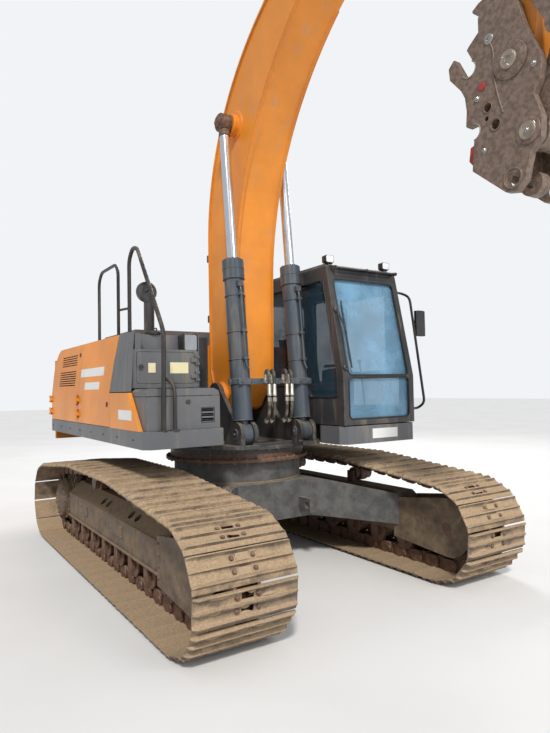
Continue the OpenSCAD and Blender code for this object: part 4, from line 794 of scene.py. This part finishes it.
def cylinder_hoses():
    hoses, steel, carrier = Build(), Build(), Build()
    front, down = 832, (0, 0, -1)
    loop = ((45, 1915), (45, 1985), (75, 2012), (105, 1985), (110, 1750), (100, 1560), (50, 1510))
    ferrule = [(0, 0.013), (0.004, 0.022), (0.022, 0.022), (0.026, 0.019), (0.060, 0.019), (0.062, 0.014)]
    sleeve = [(0, 0.018), (0.006, 0.0215), (0.090, 0.0215), (0.094, 0.024), (0.116, 0.024), (0.120, 0.017)]
    fittings = [((45, 1905), UP, ferrule, 12), ((45, 1900), UP, [(0, 0.021), (0.020, 0.021)], 6)]
    fittings += [((109, 1870), down, sleeve, 14),
        ((110, 1738), down, [(0, 0.0225), (0.040, 0.0225), (0.044, 0.017)], 6)]
    fittings.append(((58, 1516), (-1, 0, -0.9), [(0, 0.0215), (0.030, 0.0215), (0.034, 0.014)], 12))
    for y in (-150, -90, 60, 120):
        hoses.tube([mm(front + x, y, z) for x, z in loop], 0.0165, 14, 0.07, 6)
        for (x, z), axis, profile, sides in fittings:
            steel.turned(mm(front + x, y, z), axis, profile, sides)
        steel.box(mm(front + 14, y - 17, 1878), mm(front + 60, y + 17, 1908))
    bar = ((0, 1870), (14, 1870), (14, 1922), (9, 1930), (0, 1930))
    across_y(carrier, [(front + x, z) for x, z in bar], (-440, 440))
    for y in (-400, -300, 300, 400):
        carrier.bolt(mm(front + 13, y, 1900), OUT_X, 0.010)
    d, _ = ram_axes(CYL_FOOT, ROD_PIN)
    clamp = [(0, 0.0985), (0.0, 0.108), (0.003, 0.111), (0.057, 0.111), (0.060, 0.108), (0.060, 0.0985)]
    for s in (-1, 1):
        foot = Vector((780, s * BOOM_CYL_Y, 1380)) + d * 490
        carrier.hoop(mm(*foot), d, clamp)
        for k in (-1, 1):
            ear = foot + Vector((0, k * 118, 0)) + d * 30
            carrier.box(mm(ear.x - 14, ear.y - 14, ear.z - 26), mm(ear.x + 14, ear.y + 14, ear.z + 26))
            carrier.bolt(mm(ear.x + 14, ear.y, ear.z), OUT_X, 0.009)
    hoses.piece("cylinder_hose_loops", "boom_tubes", "hose_rubber", M_HOSE, 50, replaces=("cylinder_hoses",))
    steel.piece("cylinder_hose_fittings", "boom_tubes", "grey_paint", M_ZINC, 35)
    carrier.piece("cylinder_hose_carrier", "boom_tubes", "dark_paint", M_TUBE, 35, 0.0015)


cylinder_hoses()


# Boom: weld seams beside the flanges, rings round the bosses, step pads

def arc_xz(centre, r, a0, a1, step):
    """Points (x, z) of an arc between two angles in degrees, step degrees apart."""
    n = round(abs(a1 - a0) / step)
    angles = (math.radians(a0 + (a1 - a0) * i / n) for i in range(n + 1))
    return [(centre[0] + r * math.cos(a), centre[1] + r * math.sin(a)) for a in angles]


def boom_details():
    seams, bosses = Build(), Build()
    # Back and front edges of the side plates: start, centre, radius and end angle of each arc
    edges = (((452, 1930), (3450, 2930), 2970, 126), ((-160, 2060), (2210, 3500), 2370, 120))
    for s in (-1, 1):
        out, y = (0, s, 0), s * 214
        for start, centre, r, end in edges:
            arc = arc_xz(centre, r, 180, end, (180 - end) / 28)[1:]
            seams.tube([mm(x, y, z) for x, z in [start] + arc], 0.0055, 6, 0.02, 1)
        for r in (0.118, 0.150):
            bead_ring(seams, mm(460, s * 213, 4630), ACROSS, r, 0.006, 44)
        bosses.turned(mm(460, s * 211, 4630), out,
            [(0, 0.149), (0.010, 0.149), (0.013, 0.146), (0.013, 0.112)], 48)
        bosses.turned(mm(460, s * 289, 4630), out,
            [(-0.030, 0.113), (-0.004, 0.113), (0.0, 0.109), (0.0, 0.060)], 48)
        # Foot boss and nose boss
        bead_ring(seams, mm(50, y, 1750), ACROSS, 0.153, 0.008, 44)
        bosses.turned(mm(NOSE[0], s * 246, NOSE[1]), out,
            [(0, 0.085), (0.006, 0.085), (0.010, 0.078), (0.010, 0.001)], 36)
        for x, z in arc_xz(NOSE, 62, 45, 315, 90):
            bosses.bolt(mm(x, s * 255, z), out, 0.009)
        # Step pads welded on the back of the boom
        for z in (2500, 2960, 3700):
            bosses.box(mm(-196, s * 100 - 30, z), mm(-188, s * 100 + 30, z + 60))
    seams.piece("boom_welds", "boom", "orange_paint", M_BOOM, 60)
    bosses.piece("boom_bosses", "boom", "orange_paint", M_BOOM, 35, 0.0015)


boom_details()


# Coupler: pin ends, plugs, worn jaw edges, valve block with its fittings

JAW_LOW, JAW_HIGH = (3484, 3402), (3466, 3812)


def coupler_details():
    steel, rough, bright, redish = Build(), Build(), Build(), Build()
    for s in (-1, 1):
        out = (0, s, 0)

        def disc(build, place, y, profile, sides):
            build.turned(mm(place[0], s * y, place[1]), out, profile, sides)

        # Tip pin: boss, dark groove and pale end with its keeper
        disc(rough, TIP, 219, [(0, 0.112), (0.010, 0.112), (0.014, 0.106), (0.014, 0.086), (0.018, 0.084),
            (0.018, 0.060)], 44)
        disc(bright, TIP, 232, [(0, 0.054), (0.014, 0.054), (0.018, 0.049), (0.018, 0.020), (0.014, 0.018),
            (0.014, 0.001)], 40)
        for x, z in arc_xz(TIP, 38, 30, 270, 120):
            steel.bolt(mm(x, s * 249, z), out, 0.007)
        # Link pin
        disc(rough, LINK, 219, [(0, 0.078), (0.007, 0.078), (0.010, 0.073), (0.010, 0.057)], 40)
        disc(bright, LINK, 224, [(0, 0.052), (0.010, 0.052), (0.013, 0.048), (0.013, 0.001)], 36)
        steel.bolt(mm(LINK[0], s * 236, LINK[1]), out, 0.011)
        # Plug and inspection cover
        disc(steel, (3618, 3929), 219,
            [(0, 0.032), (0.006, 0.032), (0.009, 0.028), (0.009, 0.016), (0.004, 0.014), (0.004, 0.001)], 28)
        disc(redish, (3559, 3661), 219, [(0, 0.026), (0.005, 0.026), (0.007, 0.022), (0.007, 0.001)], 28)
        for x, z, radius, r, count in ((3646, 3391, 0.036, 0.006, 28), (3594, 3514, 0.031, 0.004, 28),
                (3750, 3030, 0.058, 0.007, 32)):
            bead_ring(rough, mm(x, s * 221, z), out, radius, r, count)
        # Hard-facing beads round both jaws, and the weld of the wear plate
        for jaw, a0, a1 in ((JAW_LOW, -85, 85), (JAW_HIGH, -150, 60)):
            bright.tube([mm(x, s * 220, z) for x, z in arc_xz(jaw, 52, a0, a1, 10)], 0.005, 6, 0.01, 1)
        weld = ((3600, 3960), (3652, 3840), (3640, 3700), (3668, 3560), (3700, 3440))
        rough.tube([mm(x, s * 220, z) for x, z in weld], 0.007, 8)
        for x, z in ((3905, 3640), (3892, 3300), (3520, 3600), (3560, 3260)):
            steel.bolt(mm(x, s * 219, z), out, 0.013)
    # Valve block and swivel between the plates
    redish.turned(mm(3799, -150, 3430), (0, -1, 0),
        [(0, 0.040), (0.012, 0.048), (0.018, 0.048), (0.019, 0.040)], 28)
    steel.box(mm(3540, -90, 3560), mm(3600, 90, 3680))
    for y in (-60, -20, 20, 60):
        steel.turned(mm(3541, y, 3620), (-1, 0, 0),
            [(0, 0.014), (0.018, 0.014), (0.020, 0.010), (0.034, 0.010)], 6)
    steel.piece("coupler_bolts", "coupler", "rusty_iron", M_STEEL, 35)
    rough.piece("coupler_bosses", "coupler", "rusty_iron", M_COUPLER, 35, 0.0015)
    bright.piece("coupler_pin_ends", "coupler", "rusty_iron", M_WORN, 35)
    redish.piece("coupler_plugs", "coupler", "red_paint", M_RED, 35)


coupler_details()


# Cab outside: gaskets, wiper, visor, lamps, mirrors

def screen_x(z):
    """X of the cab's front face at height z."""
    return 1300 - max(0, z - 1940) * 250 / 1150


def cab_details():
    rubber, dark, lens, housing, glassy, door_rubber = (Build() for _ in range(6))

    def gasket(build, low, high, place):
        """Gasket round a window whose corners are low and high in the plane that place gives."""
        w, h = high[0] - low[0], high[1] - low[1]
        closed_tube(build, [place((low[0] + high[0]) / 2 + u, (low[1] + high[1]) / 2 + v)
            for u, v in rounded_outline(w, h, 45)], 0.008)

    def side_at(y):
        return lambda x, z: mm(x, y, z)

    gasket(rubber, (572, 1502), (1408, 1923), lambda y, z: mm(1300, y, z))
    gasket(rubber, (572, 1947), (1408, 2958), lambda y, z: mm(screen_x(z), y, z))
    gasket(rubber, (592, 1952), (1388, 2898), lambda y, z: mm(-560, y, z))
    gasket(rubber, (-418, 1852), (328, 2948), side_at(499))
    gasket(rubber, (-428, 1902), (38, 2948), side_at(1481))
    gasket(door_rubber, (202, 2002), (928, 2878), side_at(1481))
    gasket(door_rubber, (202, 1602), (1128, 1928), side_at(1481))
    side = ((742, 1722), (1203, 1722), (1203, 1940), (998, 2948), (432, 2948), (432, 2150), (522, 1950),
        (742, 1722))
    closed_tube(rubber, eased([mm(x, 499, z) for x, z in side], 0.05, 4)[:-1], 0.008)
    # Inner edge of the front pillar: wiper's two pivots, motor rod, arm and blade
    pivots, pivot_y = (2020, 2620), 538
    for z in pivots:
        dark.turned(mm(screen_x(z) + 2, pivot_y, z), (1, 0, 0.22),
            [(0, 0.030), (0.018, 0.030), (0.024, 0.022), (0.024, 0.001)], 24)
    rod, arm = ((30, pivot_y, 2020), (36, 548, 2300), (28, pivot_y, 2620)), ((34, pivot_y, 2620),
        (34, 606, 2380))
    for route, r in ((rod, 0.009), (arm, 0.007)):
        housing.tube([mm(screen_x(z) + x, y, z) for x, y, z in route], r, 10)
    blade = ((4, 612), (22, 604), (26, 612), (22, 620))
    rubber.loft([[mm(screen_x(z) + x, y, z) for x, y in blade] for z in (2020, 2040, 2700, 2720)])
    # Visor over the windscreen: slats between ribs
    slat = ((0, 3086), (22, 3076), (26, 3082), (4, 3094))
    rib = ((1030, 3060), (1150, 3050), (1162, 3072), (1150, 3086), (1030, 3104))
    for i, x in enumerate((1052, 1092, 1132)):
        across_y(dark, [(x + a, z - i * 6) for a, z in slat], (560, 1420))
    for y in (560, 990, 1412):
        across_y(dark, rib, (y, y + 8))
    # Lamps on the roof: housing with fins, lens and bracket
    cut = ((-1, -0.7), (-0.8, -1), (0.8, -1), (1, -0.7), (1, 0.7), (0.8, 1), (-0.8, 1), (-1, 0.7))
    for y in (590, 1390):
        housing.loft([[mm(x, y + w * 54, 3180 + h * 40) for w, h in cut] for x in (946, 952, 1004, 1014)])
        for k in range(5):
            housing.box(mm(938, y - 43 + k * 20, 3150), mm(950, y - 37 + k * 20, 3210))
        lens.loft([[mm(x, y + w * q, 3180 + h * q * 0.75) for w, h in cut]
            for x, q in ((1013, 47), (1018, 46), (1020, 38))])
        for low, high in (((860, -19, 3131), (960, 19, 3137)), ((962, -58, 3136), (984, -54, 3190)),
                ((962, 54, 3136), (984, 58, 3190)), ((962, -58, 3133), (984, 58, 3138))):
            housing.box(mm(low[0], y + low[1], low[2]), mm(high[0], y + high[1], high[2]))
    housing.piece("cab_lamp_housings", "house", "dark_paint", M_BLACK, 35, 0.0015, replaces=("work_lights",))
    lens.piece("cab_lamp_lenses", "house", "lamp", M_LAMP, 35)
    # Mirror on the outer rail, with its glass, and the round one above the toolbox
    block_x(dark, 1670, 2520, 28, ((1216, 110, 250), (1222, 132, 286), (1250, 136, 290), (1256, 130, 284)))
    block_x(glassy, 1670, 2520, 20, ((1217, 106, 246), (1213, 102, 242)))
    back = [(0, 0.060), (0.004, 0.082), (0.016, 0.094), (0.030, 0.097), (0.034, 0.094), (0.034, 0.001)]
    dark.turned(mm(677, -1300, 2740), (-1, 0, 0), back, 44)
    glassy.turned(mm(644, -1300, 2740), (-1, 0, 0),
        [(0, 0.090), (0.003, 0.088), (0.006, 0.060), (0.007, 0.001)], 44)
    dark.piece("cab_trim", "house", "dark_paint", M_DARK, 35, 0.0015)
    rubber.piece("cab_gaskets", "house", "hose_rubber", M_RUBBER, 50)
    door_rubber.piece("cab_door_gaskets", "door_cab", "hose_rubber", M_RUBBER, 50)
    glassy.piece("mirror_glass", "house", "rod_chrome", M_MIRROR, 35)


cab_details()


# Cab inside: seat, consoles, levers, pedals and monitor

def cushion(name, middle, size, lean):
    """Crowned pad that leans by degrees, with sides that pull in between its corners."""
    turn = Matrix.Rotation(math.radians(lean), 3, "Y")
    w, d, h = (v / 2 for v in size)
    rings = []
    for k, q in ((-1.0, 0.80), (-0.75, 0.95), (-0.3, 1.0), (0.3, 1.0), (0.75, 0.95), (1.0, 0.78)):
        ring = []
        for u, v in rounded_outline(2 * w * q, 2 * d * q, min(w, d) * 0.35 * q, 4):
            pull = 1 - 0.05 * (1 - abs(u) / w) * (1 - abs(v) / d)
            ring.append(Vector((u * pull, v * pull, k * h)))
        rings.append(ring)
    rings.append([Vector((p.x * 0.55, p.y * 0.55, h + 0.03)) for p in rings[-1]])
    b = Build()
    b.loft([[middle + turn @ p for p in ring] for ring in rings])
    obj = b.piece(name, "house", "interior", M_SEAT, 60)
    sub = obj.modifiers.new("round", "SUBSURF")
    sub.levels = sub.render_levels = 2


def cab_inside():
    dark, steel, screen = Build(), Build(), Build()
    mid, low = 990, 1500
    # Seat base with its bellows, frame and rails
    for k in range(5):
        z = low + 4 + k * 42
        dark.loft([[mm(210 + u, mid + v, z + h) for u, v in rounded_outline(w, w * 0.95, 40)]
            for h, w in ((0, 330), (21, 372), (42, 330))])
    dark.box(mm(-20, mid - 210, low + 216), mm(430, mid + 210, low + 246))
    cushion("seat_cushion", mm(215, mid, low + 305), (0.50, 0.50, 0.10), -4)
    cushion("seat_back", mm(-95, mid, low + 640), (0.62, 0.48, 0.09), -100)
    cushion("seat_headrest", mm(-185, mid, low + 1010), (0.16, 0.28, 0.07), -100)
    shell = []
    for z in (330, 500, 800, 930):
        x = -170 - (z - 330) * 0.17
        shell.append([mm(x - u, mid + v, low + z) for u, v in ((0, -215), (0, 215), (30, 200), (30, -200))])
    dark.loft(shell)
    grip = [(0, 0.040), (0.020, 0.034), (0.034, 0.022), (0.060, 0.014), (0.110, 0.013), (0.112, 0.022),
        (0.150, 0.026), (0.200, 0.027), (0.214, 0.018), (0.216, 0.001)]
    for y in (mid - 340, mid + 340):
        # Console with its arm rest, inlay and lever
        body = []
        for x, top in ((-50, 540), (60, 556), (330, 556), (400, 530), (420, 490)):
            section = ((-60, 4), (60, 4), (60, top - 14), (46, top), (-46, top), (-60, top - 14))
            body.append([mm(x, y + u, low + z) for u, z in section])
        dark.loft(body)
        rest = ((-36, 575), (36, 575), (36, 600), (20, 612), (-20, 612), (-36, 600))
        dark.loft([[mm(x, y + u, low + z) for u, z in rest] for x in (-40, -20, 210, 230)])
        steel.box(mm(60, y - 40, low + 555), mm(330, y + 40, low + 561))
        dark.turned(mm(380, y, low + 535), (0.1, 0, 1), grip, 20)
    for y in (mid - 90, mid + 90):
        # Travel lever and its pedal
        dark.tube([mm(965, y, low + 40), mm(930, y, low + 330), mm(880, y, low + 620)], 0.010, 12)
        dark.turned(mm(884, y, low + 590), (-0.1, 0, 1),
            [(0, 0.018), (0.010, 0.022), (0.030, 0.022), (0.040, 0.014)], 18)
        dark.box(mm(900, y - 60, low + 62), mm(1070, y + 60, low + 72),
            Matrix.Rotation(math.radians(-14), 3, "Y"))
        for k in range(5):
            steel.box(mm(915 + k * 32, y - 54, low + 76 + k * 7.5),
                mm(925 + k * 32, y + 54, low + 81 + k * 7.5))
    # Monitor on the right pillar, and the ribbed floor mat
    dark.tube([mm(1060, 590, low + 300), mm(1080, 596, low + 560), mm(1050, 640, low + 700)], 0.014, 12)
    block_x(dark, 650, low + 770, 18, [(x, 170, 130) for x in (1050, 1054, 1084, 1090)])
    block_x(screen, 650, low + 770, 8, [(x, 140, 100) for x in (1049, 1046)])
    dark.box(mm(480, 580, low + 2), mm(1220, 1400, low + 10))
    for y in range(600, 1390, 40):
        dark.box(mm(490, y, low + 9), mm(1210, y + 14, low + 14))
    dark.piece("cab_fittings", "house", "interior", M_PLASTIC, 35, 0.002, replaces=("cab_interior",))
    steel.piece("cab_inlays", "house", "interior", M_ZINC, 35)
    screen.piece("cab_monitor", "house", "interior", M_SCREEN, 35)


cab_inside()


# House: blank labels, latches, louvre blades, lids, grips and rail feet

def plate_on(build, corners, outward):
    """Thin plate that stands out from the face its corners lie on."""
    w = Vector(outward).normalized()
    build.loft([[c + w * h for c in corners] for h in (-0.0008, 0.0016)])


def side_plate(build, x0, x1, z0, z1):
    """Blank label on the right side wall."""
    corners = [mm(x, wall_y(z), z) for x, z in ((x0, z0), (x1, z0), (x1, z1), (x0, z1))]
    plate_on(build, corners, (0, -1, 0))


def front_plate(build, x, y0, y1, z0, z1):
    """Blank label on a face that looks forward."""
    plate_on(build, [mm(x, y, z) for y, z in ((y0, z0), (y1, z0), (y1, z1), (y0, z1))], OUT_X)


TANK_DOOR_X = 623
REAR_LATCHES = ((-1060, 1700), (-1060, 2250))


def labels_and_latches():
    labels, door_labels, tank_labels = Build(), Build(), Build()
    side_plate(door_labels, -950, -90, 1990, 2080)
    side_plate(door_labels, -750, -210, 1850, 1927)
    side_plate(labels, 430, 790, 1565, 1655)
    front_plate(labels, 1311, 860, 1210, 1295, 1395)
    front_plate(tank_labels, TANK_DOOR_X, -1060, -872, 1988, 2092)
    front_plate(tank_labels, TANK_DOOR_X, -1276, -1205, 1995, 2085)
    labels.piece("house_blank_labels", "house", "lamp", M_LABEL, 30)
    door_labels.piece("door_blank_labels", "door_mid_right", "lamp", M_LABEL, 30)
    tank_labels.piece("tank_blank_labels", "door_tank", "lamp", M_YELLOW, 30)
    for body, side, places in (("door_rear_right", -1, REAR_LATCHES), ("door_mid_right", -1, ((80, 1700),)),
            ("door_rear_left", 1, REAR_LATCHES)):
        locks = Build()
        for x, z in places:
            latch(locks, mm(x, wall_y(z, side), z), (0, side, 0), 0.026)
        locks.piece("latches_" + body, body, "black_steel", M_BLACK, 35)
    tank_latch = Build()
    latch(tank_latch, mm(631, -1350, 2050), OUT_X, 0.024)
    tank_latch.piece("tank_door_latch", "door_tank", "black_steel", M_BLACK, 35)


def louvre_blades():
    """Tilted blades, one in each slot of the right rear door."""
    blades = Build()
    for x0, x1, z0, z1 in ((-1900, -1180, 2140, 2300), (-1960, -1180, 1900, 2110)):
        for z in range(z0, z1 - 26, 27):
            y = wall_y(z + 6)
            section = ((4, 14), (7, 15), (30, -2), (27, -3))
            blades.loft([[mm(x, y + a, z + b) for a, b in section] for x in (x0 + 1, x1 - 1)])
    blades.piece("louvre_blades", "door_rear_right", "dark_paint", M_DARK, 35)


def house_details():
    black, bolts, feet, lens = (Build() for _ in range(4))
    # Toolbox: latch, rails of the grille and the seal round it
    latch(black, mm(1050, -1073, 1722), OUT_X, 0.022)
    for z in (1545, 1588, 1631):
        black.box(mm(1020, -936, z + 10), mm(1042, -826, z + 16))
    seal = ((-945, 1536), (-817, 1536), (-817, 1668), (-945, 1668))
    closed_tube(black, [mm(1052, y, z) for y, z in seal], 0.004)
    # Tank: work light in its recess, and the cap
    block_x(black, -830, 2288, 18, ((455, 150, 180), (470, 158, 190), (590, 158, 190), (600, 150, 182)))
    block_x(lens, -830, 2288, 14, ((600, 128, 150), (603, 124, 146)))
    black.box(mm(505, -846, 2212), mm(545, -814, 2262))
    cap = [(0, 0.070), (0.004, 0.078), (0.030, 0.078), (0.036, 0.070), (0.036, 0.020), (0.050, 0.018),
        (0.050, 0.001)]
    black.turned(mm(420, -1150, 2364), UP, cap, 36)
    # Dark strips in the gaps between the panels: seals, and painted shade that keeps the gaps dark
    for x, heights in ((-1000, (1485, WAIST_Z, 2366)), (150, (1485, WAIST_Z))):
        section = ((-3.5, 2.5), (3.5, 2.5), (3.5, 30), (-3.5, 30))
        black.loft([[mm(x + u, wall_y(z) + v, z) for u, v in section] for z in heights])
    # Rail feet with their bolts
    for x, y, z in ((1080, -1320, 1476), (190, -1300, 2370), (0, -1350, 2370), (-660, -1350, 2370),
            (1085, -1216, 1476)):
        feet.turned(mm(x, y, z), UP, [(0.0005, 0.046), (0.007, 0.046), (0.009, 0.042), (0.009, 0.021)], 28)
        ring_of(bolts, mm(x, y, z + 8), UP, 0.034, 4, 0.006, 0.6)
    for x, z in ((1265, 1580), (1056, 2880)):
        feet.turned(mm(x, 1480, z), ACROSS, [(0.0005, 0.034), (0.008, 0.034), (0.010, 0.030), (0.010, 0.015)],
            28)
    # Bolts along the decks' skirts and the housing's top
    for x in range(-2250, 1050, 440):
        bolts.bolt(mm(x, -SIDE_Y, 1400), (0, -1, 0), 0.008)
        bolts.bolt(mm(x, SIDE_Y, 1350), ACROSS, 0.008)
    for x in range(-2250, -700, 180):
        for y in (-1340, 1340):
            bolts.bolt(mm(x, y, PANEL_TOP), UP, 0.009)
    black.piece("house_black_fittings", "house", "black_steel", M_BLACK, 35, 0.0015)
    lens.piece("tank_lamp_lens", "house", "lamp", M_LENS, 35)
    bolts.piece("house_bolts", "house", "dark_paint", M_DARK, 35)
    feet.piece("rail_feet", "house", "black_steel", M_BLACK, 35, 0.001)


def lids_and_grips():
    pads, grips, tail = Build(), Build(), Build()
    for x in range(700, 981, 56):
        pads.box(mm(x, -1410, 1841.5), mm(x + 26, -830, 1845))
    for s in (-1, 1):
        grips.tube([mm(x, s * 500, z)
            for x, z in ((-1300, 2568), (-1300, 2610), (-1120, 2610), (-1120, 2568))], 0.009, 10, 0.03)
        bead_ring(tail, mm(-2950, s * 700, 2250), UP, 0.044, 0.007, 28)
    pads.piece("lid_grip_strips", "lid", "black_steel", M_BLACK, 35, 0.001)
    grips.piece("hood_grips", "hood", "black_steel", M_BLACK, 35)
    tail.piece("counterweight_rims", "house", "orange_paint", M_ORANGE, 50)


labels_and_latches()
louvre_blades()
house_details()
lids_and_grips()


# Pipes in the boom bay

def bay_pipes():
    pipes, joints = Build(), Build()
    for k, y in enumerate((-450, -400, 380, 430)):
        route = ((-560, 2010), (-130 + 12 * k, 1900), (-82 + 14 * k, 1714), (120, 1420), (170 + 10 * k, 1290))
        pipes.tube([mm(x, y, z) for x, z in route], 0.019, 12, 0.12)
        union = [(0, 0.034), (0.016, 0.034), (0.018, 0.027), (0.052, 0.026), (0.054, 0.020)]
        joints.turned(mm(172 + 10 * k, y, 1276), UP, union, 12)
    pipes.piece("bay_pipes", "house", "dark_paint", M_DARK, 50)
    joints.piece("bay_pipe_joints", "house", "dark_paint", M_STEEL, 35)


bay_pipes()


# Floor and light

def make_floor():
    k = Mat("floor_pale")
    k.set(Base_Color=k.mix(k.ramp(k.noise(0.6, 4), 0.3, 0.7), (0.74, 0.73, 0.71), (0.78, 0.77, 0.75)),
        Roughness=0.85)
    me = bpy.data.meshes.new("floor")
    r = 60.0
    me.from_pydata([(-r, -r, -0.001), (r, -r, -0.001), (r, r, -0.001), (-r, r, -0.001)], [], [(0, 1, 2, 3)])
    me.materials.append(k.m)
    linked("floor", me)


def make_world():
    world = bpy.data.worlds.new("studio")
    bpy.context.scene.world = world
    world.use_nodes = True
    t = world.node_tree
    t.nodes.clear()
    light = new_node(t, "Background", Color=(0.86, 0.92, 1.0), Strength=0.55)
    seen = new_node(t, "Background", Color=(0.88, 0.90, 0.92), Strength=1.0)
    path = new_node(t, "LightPath").outputs
    either = new_node(t, "Math", {0: path["Is Camera Ray"], 1: path["Is Transmission Ray"]})
    either.operation = "MAXIMUM"
    mix = new_node(t, "MixShader", {0: either.outputs[0], 1: light.outputs[0], 2: seen.outputs[0]})
    new_node(t, "OutputWorld", Surface=mix.outputs[0])


def lamp(name, kind, turn, power, colour=(1.0, 1.0, 1.0)):
    """Lamp that shines along -Z of its turn."""
    data = bpy.data.lights.new(name, kind)
    data.energy, data.color = power, colour
    obj = linked(name, data)
    obj.rotation_euler = turn.to_euler()
    return obj


def area_light(name, place, target, size, power):
    obj = lamp(name, "AREA", (Vector(target) - Vector(place)).to_track_quat("-Z", "Y"), power)
    obj.location = place
    obj.data.shape, obj.data.size = "DISK", size


def sun_light(name, source, power, spread, colour):
    """Broad light from the direction of source."""
    obj = lamp(name, "SUN", Vector(source).to_track_quat("Z", "Y"), power, colour)
    obj.data.angle = math.radians(spread)


make_floor()
make_world()
sun_light("key", (6.5, -4.0, 7.0), 2.6, 7.0, (1.0, 0.97, 0.93))
area_light("fill", (13.0, 3.0, 7.0), (0, 0, 2.0), 7.0, 420)
area_light("rim", (-9.0, 8.0, 10.0), (0, 0, 2.5), 6.0, 700)
bpy.context.scene.view_settings.view_transform = "Standard"
